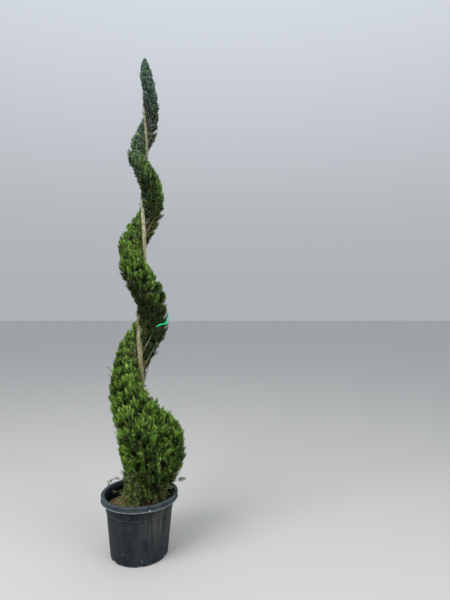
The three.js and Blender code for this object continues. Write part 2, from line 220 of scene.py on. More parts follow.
def tubes(paths: Array, radii: Array, sides: int, tint: int | Array = 0, grain: float = 0.0) -> Skin:
    """Closed tubes along many paths at once: a ring of points square to the path at each of its points.

    Args:
        paths: Points in the shape (tubes, steps, 3).
        radii: Radii in the shape (tubes, steps).
        sides: Points in each ring.
        tint: The material's place, or one for each tube.
        grain: The share of the radius by which long fibres swell and pinch the tubes.

    Returns:
        All the tubes as one skin.
    """
    tangents = unit(np.gradient(paths, axis=1))
    chord = unit(paths[:, -1] - paths[:, 0])
    helper = np.where(np.abs(chord[:, 2:]) > 0.8, [[1.0, 0.0, 0.0]], UP)
    side = across(tangents, np.cross(chord, helper)[:, None])
    lift = np.cross(tangents, side)
    angle = round_angles(sides)[:, None]
    ring = np.cos(angle) * side[:, :, None] + np.sin(angle) * lift[:, :, None]
    if grain:
        fibres = ripple(ring + paths[:, :, None] * 30, SEED + 6, 0.5)
        ring = ring * (1 + grain * fibres[..., None])
    return closed_skins(paths[:, :, None] + radii[:, :, None, None] * ring, tint)


def bezier(start: Array, knee: Array, end: Array, steps: int) -> Array:
    """Quadratic curves: the start, knee and end weighed by (1 - s) squared, 2 s (1 - s) and s squared.

    Args:
        start: Where each starts.
        knee: What it bends towards.
        end: Where it ends.
        steps: How many points each gets.

    Returns:
        Points in the shape (curves, steps, 3).
    """
    share = np.linspace(0, 1, steps)[None, :, None]
    start, knee, end = start[:, None], knee[:, None], end[:, None]
    return (1 - share) ** 2 * start + 2 * share * (1 - share) * knee + share ** 2 * end


def tapered(paths: Array, thick: float, thin: float) -> Array:
    """Radii that narrow evenly along each path."""
    return np.broadcast_to(np.linspace(thick, thin, paths.shape[1]), paths.shape[:2])


def new_piece(name: str, skin: Skin, materials: Sequence[Finish],
              replaces: Sequence[str] = (), rounded: bool = True,
              attributes: dict[str, Array] | None = None) -> None:
    """Puts a skin into the scene as a finished piece that rides on the part's one body.

    Args:
        name: The piece's name.
        skin: Its vertices and faces, already in place.
        materials: Its materials, in the order of the skin's tints.
        replaces: The CAD nodes that it stands for.
        rounded: Whether its faces are shaded smoothly.
        attributes: Numbers for each vertex, by name.
    """
    mesh = bpy.data.meshes.new(name)
    sizes = np.concatenate([np.full(len(array), array.shape[1], np.int32) for array in skin.faces])
    corners = np.concatenate([array.ravel() for array in skin.faces]).astype(np.int32)
    mesh.vertices.add(len(skin.points))
    mesh.vertices.foreach_set("co", skin.points.astype(np.float32).ravel())
    mesh.loops.add(len(corners))
    mesh.loops.foreach_set("vertex_index", corners)
    mesh.polygons.add(len(sizes))
    mesh.polygons.foreach_set("loop_start", np.concatenate([[0], np.cumsum(sizes)[:-1]]).astype(np.int32))
    mesh.polygons.foreach_set("loop_total", sizes)
    mesh.polygons.foreach_set("use_smooth", np.full(len(sizes), rounded))
    mesh.polygons.foreach_set("material_index", np.concatenate(skin.tints).astype(np.int32))
    for label, values in (attributes or {}).items():
        attribute = mesh.attributes.new(label, "FLOAT", "POINT")
        attribute.data.foreach_set("value", values.astype(np.float32).ravel())
    mesh.update(calc_edges=True)
    mesh.validate()
    for material in materials:
        mesh.materials.append(material)
    piece = bpy.data.objects.new(name, mesh)
    bpy.context.scene.collection.objects.link(piece)
    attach(piece, "root")
    if replaces:
        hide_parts(*replaces)
    LOG.info("%s: %d triangles", name, skin.triangle_count())


# Shader trees and the effects that several finishes share

class Tree:
    """A node tree in the making."""

    def __init__(self, tree: bpy.types.NodeTree) -> None:
        """Starts from an empty tree."""
        self.tree = tree
        self.tree.nodes.clear()

    def feed(self, socket: Socket, value: Any) -> None:
        """Links a socket to another one, or sets it: a colour of three numbers gets its fourth.

        Args:
            socket: The socket to feed.
            value: A socket, a number, a vector or a colour.
        """
        if isinstance(value, Socket):
            self.tree.links.new(value, socket)
        else:
            socket.default_value = (*value, 1.0) if socket.type == "RGBA" else value

    def add(self, kind: str, inputs: dict[str | int, Any] | None = None, **settings: Any) -> bpy.types.Node:
        """Adds a node.

        Args:
            kind: The node's type.
            inputs: What goes into its sockets, by name or number.
            **settings: The node's own settings.

        Returns:
            The node.
        """
        node = self.tree.nodes.new(kind)
        for key, value in settings.items():
            setattr(node, key, value)
        for key, value in (inputs or {}).items():
            self.feed(node.inputs[key], value)
        return node

    def vector(self, operation: str, first: Any, second: Any) -> Socket:
        """One arithmetic step on two vectors."""
        return self.add("ShaderNodeVectorMath", {0: first, 1: second}, operation=operation).outputs[0]

    def place(self, stretch: Any = (1.0, 1.0, 1.0)) -> Socket:
        """Object coordinates, in metres, times a stretch."""
        return self.vector("MULTIPLY", self.add("ShaderNodeTexCoord").outputs["Object"], stretch)

    def sum(self, operation: str, first: Any, second: Any = 0.0) -> Socket:
        """One arithmetic step on two numbers."""
        return self.add("ShaderNodeMath", {0: first, 1: second}, operation=operation).outputs[0]

    def times(self, first: Any, second: Any) -> Socket:
        """The product of two numbers."""
        return self.sum("MULTIPLY", first, second)

    def noise(self, place: Any, scale: Any, **settings: float) -> Socket:
        """A noise of the place."""
        return self.add("ShaderNodeTexNoise", {"Vector": place, "Scale": scale, **settings}).outputs[0]

    def ramp(self, value: Any, low: Any, high: Any, bottom: Any = 0.0, top: Any = 1.0) -> Socket:
        """A number eased from low..high to bottom..top."""
        inputs = {"Value": value, "From Min": low, "From Max": high, "To Min": bottom, "To Max": top}
        return self.add("ShaderNodeMapRange", inputs, interpolation_type="SMOOTHSTEP").outputs["Result"]

    def blend(self, share: Any, first: Any, second: Any) -> Socket:
        """The second colour over the first one by a mask.

        Args:
            share: The mask.
            first: The colour below.
            second: The colour on it.

        Returns:
            The colour's socket.
        """
        node = self.add("ShaderNodeMix", data_type="RGBA", clamp_factor=True)
        for number, value in ((0, share), (6, first), (7, second)):
            self.feed(node.inputs[number], value)
        return node.outputs[2]


class Effects:
    """Effects that several materials use, each built once as a node group with named sockets."""

    def __init__(self) -> None:
        """Builds every group."""
        colour, number, vector = "NodeSocketColor", "NodeSocketFloat", "NodeSocketVector"
        self.drift = self._group("colour_drift", self._drift, ("Colour", colour), {
            "Colour": colour, "Amount": number, "Scale": number, "Stretch": vector})
        self.patches = self._group("patches", self._patches, ("Mask", number), {
            "Scale": number, "Stretch": vector, "From": number, "To": number})
        self.specks = self._group("specks", self._specks, ("Mask", number), {
            "Scale": number, "Size": number, "Share": number})
        self.smudge = self._group("smudge", self._smudge, ("Mask", number), {
            "Centre": vector, "Squash": vector, "Radius": number})

    @staticmethod
    def _group(name: str, build: Callable[[Tree, Any], Socket], gives: tuple[str, str],
               takes: dict[str, str]) -> bpy.types.NodeTree:
        """Makes a group with its sockets and fills it.

        Args:
            name: The group's name.
            build: What adds the nodes, from the group's inputs to the socket that it puts out.
            gives: The output's name and kind.
            takes: The inputs' names and kinds.

        Returns:
            The group.
        """
        tree = Tree(bpy.data.node_groups.new(name, "ShaderNodeTree"))
        for side, sockets in (("INPUT", takes.items()), ("OUTPUT", [gives])):
            for label, kind in sockets:
                tree.tree.interface.new_socket(name=label, in_out=side, socket_type=kind)
        made = build(tree, tree.add("NodeGroupInput").outputs)
        tree.add("NodeGroupOutput", {gives[0]: made})
        return tree.tree

    @staticmethod
    def _drift(tree: Tree, given: Any) -> Socket:
        """The colour times one more or less Amount, by a noise of the place.

        Args:
            tree: The group's tree.
            given: The group's inputs.

        Returns:
            The colour.
        """
        noise = tree.noise(tree.place(given["Stretch"]), given["Scale"], Detail=3.0)
        low = tree.sum("SUBTRACT", 1.0, given["Amount"])
        factor = tree.ramp(noise, 0.3, 0.7, low, tree.sum("ADD", 1.0, given["Amount"]))
        inputs = {0: given["Colour"], "Scale": factor}
        return tree.add("ShaderNodeVectorMath", inputs, operation="SCALE").outputs[0]

    @staticmethod
    def _patches(tree: Tree, given: Any) -> Socket:
        """Soft patches where a noise of the place lies between From and To."""
        noise = tree.noise(tree.place(given["Stretch"]), given["Scale"], Detail=5.0, Roughness=0.62)
        return tree.ramp(noise, given["From"], given["To"])

    @staticmethod
    def _specks(tree: Tree, given: Any) -> Socket:
        """Small dots round some of the points of a cell pattern.

        Args:
            tree: The group's tree.
            given: The group's inputs.

        Returns:
            The mask.
        """
        cells = tree.add("ShaderNodeTexVoronoi", {"Vector": tree.place(), "Scale": given["Scale"]})
        dot = tree.ramp(cells.outputs["Distance"], given["Size"], 0.0)
        chance = tree.add("ShaderNodeSeparateColor", {0: cells.outputs["Color"]}).outputs[0]
        return tree.times(dot, tree.sum("LESS_THAN", chance, given["Share"]))

    @staticmethod
    def _smudge(tree: Tree, given: Any) -> Socket:
        """One broken spot: the distance from Centre, stretched by Squash, under Radius, eaten by a noise.

        Args:
            tree: The group's tree.
            given: The group's inputs.

        Returns:
            The mask.
        """
        place = tree.place()
        squashed = tree.vector("MULTIPLY", tree.vector("SUBTRACT", place, given["Centre"]), given["Squash"])
        length = tree.add("ShaderNodeVectorMath", {0: squashed}, operation="LENGTH").outputs["Value"]
        ragged = tree.times(length, tree.ramp(tree.noise(place, 260.0, Detail=4.0), 0.3, 0.7, 0.6, 2.2))
        return tree.ramp(ragged, given["Radius"], 0.0)


class Material:
    """A material in the making: its tree, its Principled shader and the shared effects."""

    def __init__(self, name: str, effects: Effects, roughness: float, specular: float) -> None:
        """Starts a material with a Principled shader.

        Args:
            name: The material's name.
            effects: The shared groups.
            roughness: The shader's roughness.
            specular: The shader's specular level.
        """
        self.material = bpy.data.materials.new(name)
        self.material.use_nodes = True
        self.effects = effects
        self.tree = Tree(self.material.node_tree)
        plain = {"Roughness": roughness, "Specular IOR Level": specular}
        self.shader = self.tree.add("ShaderNodeBsdfPrincipled", plain)
        self.tree.add("ShaderNodeOutputMaterial", {"Surface": self.shader.outputs[0]})

    def effect(self, group: bpy.types.NodeTree, **values: Any) -> Socket:
        """What a shared effect puts out, with this material's own values."""
        return self.tree.add("ShaderNodeGroup", values, node_tree=group).outputs[0]

    def drift(self, colour: Any, amount: float, scale: float, stretch: tuple = (1, 1, 1)) -> Socket:
        """The colour with lighter and darker drifts."""
        return self.effect(self.effects.drift, Colour=colour, Amount=amount, Scale=scale, Stretch=stretch)

    def patches(self, scale: float, start: float, end: float, stretch: tuple = (1, 1, 1)) -> Socket:
        """A mask of soft patches."""
        return self.effect(self.effects.patches, Scale=scale, From=start, To=end, Stretch=stretch)

    def finish(self, colour: Any, height: Any = None, depth: float = 0.001, strength: float = 1.0,
               roughness: Any = None) -> Finish:
        """Connects the colour, the relief and the roughness.

        Args:
            colour: The base colour, or its socket.
            height: The relief's socket, if there is one.
            depth: The relief's depth in metres.
            strength: How much of it shows.
            roughness: The roughness's socket, where it changes over the surface.

        Returns:
            The finished material.
        """
        self.tree.feed(self.shader.inputs["Base Color"], colour)
        if height is not None:
            relief = {"Height": height, "Distance": depth, "Strength": strength}
            self.tree.feed(self.shader.inputs["Normal"], self.tree.add("ShaderNodeBump", relief).outputs[0])
        if roughness is not None:
            self.tree.feed(self.shader.inputs["Roughness"], roughness)
        return self.material


# Finishes

@dataclass(frozen=True)
class PotPlastic:
    """Weathered black nursery plastic: grey dust, brownish streaks, pale worn edges and a few scuffs, with
    the dust left off as painted shade in recesses.
    """

    plastic: tuple = (0.0062, 0.0085, 0.0100)
    dust: tuple = (0.054, 0.075, 0.088)
    silt: tuple = (0.105, 0.100, 0.086)
    worn: tuple = (0.190, 0.225, 0.235)
    chalk: tuple = (0.52, 0.54, 0.54)
    scuffs: tuple = (((0.095, -0.2055, 0.338), (1, 1, 1.6), 0.013, 0.8),
                     ((-0.176, -0.036, 0.056), (1, 1, 0.5), 0.016, 0.9),
                     ((-0.181, -0.040, 0.105), (1, 1, 0.4), 0.012, 0.4),
                     ((0.011, -0.1757, 0.120), (1, 1, 1), 0.006, 0.35),
                     ((-0.0605, -0.161, 0.075), (1, 1, 1), 0.007, 0.45),
                     ((0.0434, -0.1644, 0.036), (1, 1, 1), 0.008, 0.35),
                     ((-0.018, -0.186, 0.226), (1, 1, 0.3), 0.008, 0.12))

    def material(self, effects: Effects) -> Finish:
        """Builds the material.

        Args:
            effects: The shared groups.

        Returns:
            The material.
        """
        made = Material("pot_plastic", effects, 0.5, 0.13)
        tree = made.tree
        base = made.drift(self.plastic, 0.25, 9.0, (1, 1, 0.4))
        # The dust attribute is real dust and painted shade: where it is low, the bare dark plastic paints the
        # shade of recesses and of the inside.
        dust_and_shade_share, silted, wear = (tree.add("ShaderNodeAttribute", attribute_name=name).outputs["Fac"]
                               for name in ("dust", "silt", "wear"))
        cloud = tree.ramp(made.patches(15.0, 0.3, 0.72, (1, 1, 0.7)), 0.0, 1.0, 0.55, 1.4)
        film = tree.times(dust_and_shade_share, cloud)
        colour = tree.blend(film, base, self.dust)
        streaks = made.patches(44.0, 0.34, 0.72, (1, 1, 0.08))
        colour = tree.blend(tree.times(silted, streaks), colour, self.silt)
        # Pale worn edges; on the step's ledge the wear is partly a painted highlight.
        colour = tree.blend(tree.times(wear, made.patches(60.0, 0.34, 0.54)), colour, self.worn)
        grit = made.effect(effects.specks, Scale=190.0, Size=0.38, Share=0.2)
        grit = tree.times(grit, tree.ramp(dust_and_shade_share, 0.0, 0.3, 0.0, 0.35))
        colour = tree.blend(grit, colour, self.worn)
        for centre, squash, radius, share in self.scuffs:
            spot = made.effect(effects.smudge, Centre=centre, Squash=squash, Radius=radius)
            colour = tree.blend(tree.times(spot, share), colour, self.chalk)
        grain = made.patches(420.0, 0.3, 0.7)
        return made.finish(colour, grain, 0.0004, 0.35, tree.ramp(film, 0.0, 0.5, 0.50, 0.72))


@dataclass(frozen=True)
class Crumb:
    """Compost and the loose bits on it: a drifting colour with darker damp patches and a crumbly relief."""

    name: str
    light: tuple
    dark: tuple
    scale: float
    roughness: float = 0.9

    def material(self, effects: Effects) -> Finish:
        """Builds the material.

        Args:
            effects: The shared groups.

        Returns:
            The material.
        """
        made = Material(self.name, effects, self.roughness, 0.25)
        base = made.drift(self.light, 0.35, self.scale * 2.5)
        colour = made.tree.blend(made.patches(self.scale, 0.4, 0.62), base, self.dark)
        return made.finish(colour, made.patches(self.scale * 3.5, 0.3, 0.7), 0.0016, 0.6)


@dataclass(frozen=True)
class Bark:
    """Stringy bark: long fibres, pale weathered plates and green algae, at the heights where each shows."""

    name: str
    light: tuple = (0.335, 0.295, 0.170)
    dark: tuple = (0.125, 0.100, 0.056)
    pale: tuple = (0.345, 0.365, 0.245)
    algae: tuple = (0.160, 0.185, 0.060)
    lichen: tuple = (0.235, 0.265, 0.205)
    pale_heights: tuple = (1.95, 2.10, 2.30)
    algae_height: float = 1.15
    lichen_height: float = 2.25

    def material(self, effects: Effects) -> Finish:
        """Builds the material.

        Args:
            effects: The shared groups.

        Returns:
            The material.
        """
        made = Material(self.name, effects, 0.85, 0.25)
        tree = made.tree
        fibres = made.patches(240.0, 0.34, 0.66, (1, 1, 0.09))
        colour = tree.blend(fibres, self.dark, self.light)
        plates = tree.times(made.patches(30.0, 0.46, 0.6, (1, 1, 0.3)), 0.6)
        colour = tree.blend(plates, colour, self.pale)
        height = tree.add("ShaderNodeSeparateXYZ", {0: tree.place()}).outputs[2]
        low, middle, high = self.pale_heights
        bleached = tree.times(tree.ramp(height, low, middle), tree.ramp(height, high, middle))
        bleached = tree.times(bleached, made.patches(45.0, 0.3, 0.55, (1, 1, 0.4)))
        colour = tree.blend(tree.times(bleached, 0.75), colour, self.pale)
        green = tree.ramp(height, self.algae_height + 0.25, self.algae_height)
        green = tree.times(green, made.patches(22.0, 0.4, 0.62, (1, 1, 0.5)))
        colour = tree.blend(tree.times(green, 0.6), colour, self.algae)
        grey = tree.ramp(height, self.lichen_height, self.lichen_height + 0.2, 0.0, 0.75)
        colour = tree.blend(grey, colour, tree.blend(fibres, self.dark, self.lichen))
        colour = made.drift(colour, 0.2, 60.0)
        return made.finish(colour, fibres, 0.0012, 0.8)


@dataclass(frozen=True)
class PlainFinish:
    """One colour with a slight drift, and a fine relief of soft patches where there is one."""

    name: str
    colour: tuple
    roughness: float = 0.65
    specular: float = 0.12
    drift: tuple = (0.14, 70.0)
    relief: tuple = ()
    depth: float = 0.0

    def material(self, effects: Effects) -> Finish:
        """Builds the material.

        Args:
            effects: The shared groups.

        Returns:
            The material.
        """
        made = Material(self.name, effects, self.roughness, self.specular)
        relief = made.patches(*self.relief) if self.relief else None
        return made.finish(made.drift(self.colour, *self.drift), relief, self.depth, 0.5)


@dataclass(frozen=True)
class TwigBark(PlainFinish):
    """Thin bark of one tone, finely mottled along the twig."""

    roughness: float = 0.8
    specular: float = 0.25
    drift: tuple = (0.3, 150.0)
    relief: tuple = (500.0, 0.3, 0.7)
    depth: float = 0.0005


@dataclass(frozen=True)
class Film(PlainFinish):
    """Thin tying film: a clear colour, creased, with a soft gloss."""

    roughness: float = 0.38
    specular: float = 0.25
    drift: tuple = (0.12, 45.0)
    relief: tuple = (90.0, 0.3, 0.7, (1, 1, 0.4))
    depth: float = 0.003


class LeafTint(Enum):
    """The plain leaf colours dealt out by spray, dark to bright, then the cooler ones of the top."""

    DEEP = (0.026, 0.043, 0.014)
    DARK = (0.054, 0.091, 0.021)
    MIDDLE = (0.088, 0.172, 0.028)
    FRESH = (0.138, 0.265, 0.038)
    BRIGHT = (0.205, 0.365, 0.052)
    LIME = (0.285, 0.450, 0.082)
    GREY_DEEP = (0.026, 0.048, 0.036)
    GREY = (0.066, 0.110, 0.082)
    GREY_LIGHT = (0.130, 0.195, 0.145)
    GREY_PALE = (0.215, 0.285, 0.215)
    OLIVE = (0.175, 0.190, 0.070)
    DEAD = (0.155, 0.118, 0.070)

    @property
    def place(self) -> int:
        """The tint's place among the leaf materials."""
        return list(LeafTint).index(self)

    @classmethod
    def darker(cls) -> list["LeafTint"]:
        """For each tint, the one that its spray's older shoots have."""
        return [cls.DEEP, cls.DEEP, cls.DARK, cls.MIDDLE, cls.FRESH, cls.FRESH, cls.GREY_DEEP, cls.GREY_DEEP,
                cls.GREY, cls.GREY_LIGHT, cls.MIDDLE, cls.DEAD]


@dataclass(frozen=True)
class Leaf(PlainFinish):
    """A leaf colour: plain and dull, with a slight drift from shoot to shoot."""


# The plant's centre lines and the clipped surface

@dataclass(frozen=True)
class Trunk:
    """The trunk's line and thickness, and the mesh with the bark's relief."""

    foot: float = 0.2943
    tip: float = 2.905
    tip_radius: float = 0.0022
    foot_radius: float = 0.0175
    taper: float = 0.55
    lean: float = 0.040
    lean_foot: float = 0.350
    lean_top: float = 2.650
    curl: float = 0.026
    curl_heights: tuple = (2.550, 3.055)
    bow: float = 0.009
    bow_height: float = 1.980
    bow_spread: float = 0.160
    wave: float = 0.011
    wave_heights: tuple = (0.500, 1.000)
    flare: float = 0.013
    flare_height: float = 0.042
    flare_lobes: int = 5
    ring_gap: float = 0.0035
    sides: int = 48
    knots: int = 46
    shreds: int = 150
    sunk: float = 0.004

    def line(self, height: Array, turn_angle: Array) -> Array:
        """The centre line: a lean by the square of the height and one bow, less a sway towards the band.

        Args:
            height: The heights.
            turn_angle: The band's direction at each.

        Returns:
            Points of the line.
        """
        rise = np.maximum(0, (height - self.lean_foot) / (self.lean_top - self.lean_foot))
        across_axis = self.lean * rise ** 2 - self.curl * smooth(*self.curl_heights, height)
        across_axis = across_axis + self.bow * bell(height - self.bow_height, self.bow_spread)
        sway = outward(turn_angle) * -self.wave * smooth(*self.wave_heights, height)[..., None]
        return points_at(across_axis, 0.0, height) + sway

    def radius(self, height: Array) -> Array:
        """The radius: a power of what is left of the height, without the flare."""
        left = np.clip((self.tip - height) / (self.tip - self.foot), 0, 1)
        return self.tip_radius + (self.foot_radius - self.tip_radius) * left ** self.taper

    def build(self, spiral: "Spiral", bark: Finish) -> None:
        """Skins the trunk: each ring's radius is the limb's, with ribs, root lobes, fibres and knots.

        Args:
            spiral: The spiral that the trunk sways against.
            bark: The finish.
        """
        height = np.arange(self.foot - self.sunk, self.tip, self.ring_gap)[:, None]
        angle = round_angles(self.sides)[None, :]
        flare = self.flare * np.exp(-np.maximum(0, height - self.foot) / self.flare_height)
        ribs = 1 + 0.06 * np.sin(3 * angle + height / 0.09)
        radius = self.radius(height) * ribs + flare * (1 + 0.3 * np.cos(self.flare_lobes * angle))
        place = points_at(np.cos(angle), np.sin(angle), height * 3.5)
        fibres = ripple(place, SEED + 1, 0.16) + 0.6 * ripple(place * [1, 1, 2.5], SEED + 2, 0.09)
        swell = ripple(place * [0.4, 0.4, 2.0], SEED + 3, 0.5)
        radius = radius * (1 + 0.045 * fibres + 0.05 * swell) + self._knots(height, angle)
        points = spiral.trunk_line(height[:, 0])[:, None] + outward(angle) * radius[..., None]
        trunk = join([closed_skins(points[None]), self._shreds(spiral)])
        new_piece("trunk_bark", trunk, [bark], ["trunk"])

    def _knots(self, height: Array, angle: Array) -> Array:
        """Round swellings at the stubs of clipped twigs: a sum of bells over height and angle.

        Args:
            height: The heights of the rings.
            angle: The angles round them.

        Returns:
            How far the bark stands out.
        """
        rng = np.random.default_rng(SEED + 4)
        total = np.zeros(np.broadcast_shapes(height.shape, angle.shape))
        for at, turned, size in zip(rng.uniform(0.5, 2.75, self.knots), rng.uniform(0, 2 * np.pi, self.knots),
                                    rng.uniform(0.5, 1.0, self.knots)):
            base = self.radius(at)
            away = angle_between(angle, turned) * base
            knot = np.exp(-((height - at) ** 2 + away ** 2) / (2 * (0.35 * base * size + 0.0015) ** 2))
            total += 0.32 * base * size * knot
        return total

    def _shreds(self, spiral: "Spiral") -> Skin:
        """Loose strips of bark that lift from the trunk at one end.

        Args:
            spiral: The spiral that the trunk sways against.

        Returns:
            The strips.
        """
        rng = np.random.default_rng(SEED + 5)
        start = rng.uniform(0.45, 2.6, self.shreds)
        length = rng.uniform(0.012, 0.045, self.shreds)
        angle = rng.uniform(0, 2 * np.pi, self.shreds)
        share = np.linspace(0, 1, 5)
        height = start[:, None] + length[:, None] * share
        lift = self.radius(height) * 1.02 + 0.0035 * share ** 2 * rng.uniform(0.2, 1, self.shreds)[:, None]
        turned = angle[:, None] + 0.25 * share * rng.normal(size=self.shreds)[:, None]
        paths = spiral.trunk_line(height) + outward(turned) * lift[..., None]
        width = rng.uniform(0.0005, 0.0011, self.shreds)[:, None] * (1 - 0.7 * share)
        return tubes(paths, width, 4)


@dataclass(frozen=True)
class Stretch:
    """Turns where the hand clipping leaves the even spiral, and what it adds to the band's measures there."""

    start: float
    end: float
    width: float = 0.0
    top: float = 0.0
    foot: float = 0.0
    above: float = 0.0
    below: float = 0.0
    ease: float = 0.1

    def share(self, turn: Array) -> Array:
        """1 inside the stretch and 0 outside, eased at both ends."""
        begun = smooth(self.start - self.ease, self.start + self.ease, turn)
        return begun * (1 - smooth(self.end - self.ease, self.end + self.ease, turn))


SAG_BEHIND = Stretch(0.28, 0.6, top=-0.025, foot=-0.075, below=-1.25)
SLIM_LOBE = Stretch(0.66, 0.95, width=-0.028, top=-0.020, foot=0.010, above=0.45, below=-0.15)
FULL_SHOULDERS = Stretch(1.0, 3.35, above=-0.36)
HOLLOW_MIDDLE = Stretch(1.6, 2.6, width=-0.015, top=0.012, foot=0.028, below=1.0)
SKIRT_FLANK = Stretch(2.8, 4.5, foot=0.080, below=-1.0)


@dataclass(frozen=True)
class Spiral:
    """The spiral band that the crown is clipped to. Turn 0 lies in front and the band winds down."""

    trunk: Trunk
    stretches: tuple = (SAG_BEHIND, SLIM_LOBE, FULL_SHOULDERS, HOLLOW_MIDDLE, SKIRT_FLANK)
    axis_bow: float = 0.0043
    top: float = 2.884
    top_pitch: float = 0.456
    top_growth: float = 0.050
    foot: float = 2.710
    foot_pitch: float = 0.480
    foot_growth: float = 0.098
    start_turn: float = -0.15
    start_length: float = 0.4
    width: float = 0.084
    width_growth: float = 0.037
    fullness_above: float = 0.75
    fullness_below: float = 1.9
    last_turn: float = 4.25
    core: float = 0.0012
    unevenness: float = 0.07
    lumps: tuple = ((0.5, 17.3, 2.1, 0), (0.3, 29.7, -3.7, 1), (0.2, 47.9, 5.3, 2))
    skirt_width: float = 0.062
    skirt_turns: tuple = (2.85, 3.22)
    skirt_sink: float = 0.038
    skirt_shrink: float = 0.132
    shrink_turns: tuple = (3.3, 3.85)
    skirt_rise: float = 0.210
    rise_turns: tuple = (3.3, 3.7)
    skirt_foot: float = 0.322
    skirt_height: float = 0.165
    foot_reach: tuple = (0.105, 1.0)
    tail_reach: tuple = (0.050, 0.15)

    def angle(self, turn: Array) -> Array:
        """The band's direction from the trunk at a turn."""
        return np.pi * (1.5 + 2 * turn)

    def stretched(self, measure: str, turn: Array) -> Array:
        """What all the stretches together add to one measure of the band."""
        return sum(getattr(stretch, measure) * stretch.share(turn) for stretch in self.stretches)

    def fullness(self, turn: Array, tilt: Array) -> Array:
        """The power of the cosine in the section's outline, above and below its middle."""
        above = self.fullness_above + self.stretched("above", turn)
        return np.where(tilt > 0, above, self.fullness_below + self.stretched("below", turn))

    def upper(self, turn: Array) -> Array:
        """The height of the band's upper edge at the trunk.

        Args:
            turn: The turns.

        Returns:
            The heights.
        """
        level = self.top - self.top_pitch * turn - self.top_growth * turn ** 2
        level = level - self.skirt_sink * smooth(*self.skirt_turns, turn)
        level = level + self.skirt_rise * smooth(*self.rise_turns, turn) + self.stretched("top", turn)
        return np.maximum(self.skirt_foot + self.skirt_height, level)

    def lower(self, turn: Array) -> Array:
        """The height of the band's lower edge at the trunk."""
        level = self.foot - self.foot_pitch * turn - self.foot_growth * turn ** 2
        return np.maximum(self.skirt_foot, level + self.stretched("foot", turn))

    def tail(self, turn: Array) -> Array:
        """How far the skirt has narrowed towards its end."""
        return smooth(*self.shrink_turns, turn)

    def radius(self, turn: Array) -> Array:
        """How far the band reaches from its axis at its fullest.

        Args:
            turn: The turns.

        Returns:
            The radii.
        """
        grown = smooth(self.start_turn, self.start_turn + self.start_length, turn)
        reach = grown * (self.width + self.width_growth * turn) + self.stretched("width", turn)
        reach = reach + self.skirt_width * smooth(*self.skirt_turns, turn)
        return reach - self.skirt_shrink * self.tail(turn)

    def limit(self, turn: Array, height: Array) -> Array:
        """How far the foliage may reach near the compost, inside the pot's rim.

        Args:
            turn: The turns.
            height: The heights.

        Returns:
            The longest reaches.
        """
        rise = height - self.skirt_foot
        wide = self.foot_reach[0] + self.foot_reach[1] * rise
        narrow = self.tail_reach[0] + self.tail_reach[1] * rise
        return mix(wide, narrow, self.tail(turn))

    def turn_at(self, height: Array) -> Array:
        """The turn at which the band's middle passes a height.

        Args:
            height: The heights.

        Returns:
            The turns.
        """
        drop = np.maximum(0, (self.top + self.foot) / 2 - height)
        pitch = (self.top_pitch + self.foot_pitch) / 2
        growth = (self.top_growth + self.foot_growth) / 2
        return (np.sqrt(pitch ** 2 + 4 * growth * drop) - pitch) / (2 * growth)

    def axis(self, height: Array) -> Array:
        """The line that the spiral winds about, which bows slightly to the right."""
        return points_at(self.axis_bow * np.maximum(0, height - self.trunk.lean_foot) ** 2, 0.0, height)

    def trunk_line(self, height: Array) -> Array:
        """The trunk's centre line at the given heights."""
        return self.trunk.line(height, self.angle(self.turn_at(height)))

    def lump(self, turn: Array, tilt: Array) -> Array:
        """The clipped surface's unevenness, from -1 to 1: a sum of three sines."""
        return sum(share * np.sin(along * turn + around * tilt + phase)
                   for share, along, around, phase in self.lumps)

    def reach(self, turn: Array, tilt: Array) -> Array:
        """The section's reach at a tilt: the cosine to a power, full above and hollow below.

        Args:
            turn: The turns.
            tilt: The angles up from the section's middle, in radians.

        Returns:
            The reaches from the trunk's line.
        """
        width = np.maximum(0, np.cos(tilt)) ** self.fullness(turn, tilt)
        full = self.radius(turn) * width * (1 + self.unevenness * self.lump(turn, tilt))
        return np.minimum(full, self.limit(turn, self.height(turn, tilt)))

    def height(self, turn: Array, tilt: Array) -> Array:
        """The height at a tilt from the section's middle."""
        upper, lower = self.upper(turn), self.lower(turn)
        return (upper + lower) / 2 + (upper - lower) / 2 * np.sin(tilt)

    def point(self, turn: Array, tilt: Array, share: Array = 1.0) -> Array:
        """A point of the band: out from the trunk's line by a share of the section's reach.

        Args:
            turn: The turn of its section.
            tilt: The angle up from the section's middle, from -90 to 90 degrees in radians.
            share: 0 at the trunk and 1 on the clipped surface.

        Returns:
            Points, three numbers each in the last axis.
        """
        turn, tilt, share = np.broadcast_arrays(turn, tilt, share)
        height = self.height(turn, tilt)
        width = (np.maximum(0, np.cos(tilt)) ** self.fullness(turn, tilt) * share)[..., None]
        centre = mix(self.trunk_line(height), self.axis(height), width)
        return centre + outward(self.angle(turn)) * (self.core + self.reach(turn, tilt) * share)[..., None]

    def normal(self, turn: Array, tilt: Array) -> Array:
        """The clipped surface's outward direction, from the cross product of its two slopes.

        Args:
            turn: The turns.
            tilt: The angles up from the section's middle, in radians.

        Returns:
            Unit vectors.
        """
        step = 0.01
        inner = np.clip(tilt, -np.pi / 2 + 2 * step, np.pi / 2 - 2 * step)
        along = self.point(turn + step, inner) - self.point(turn - step, inner)
        up = self.point(turn, inner + step) - self.point(turn, inner - step)
        return unit(np.cross(along, up))

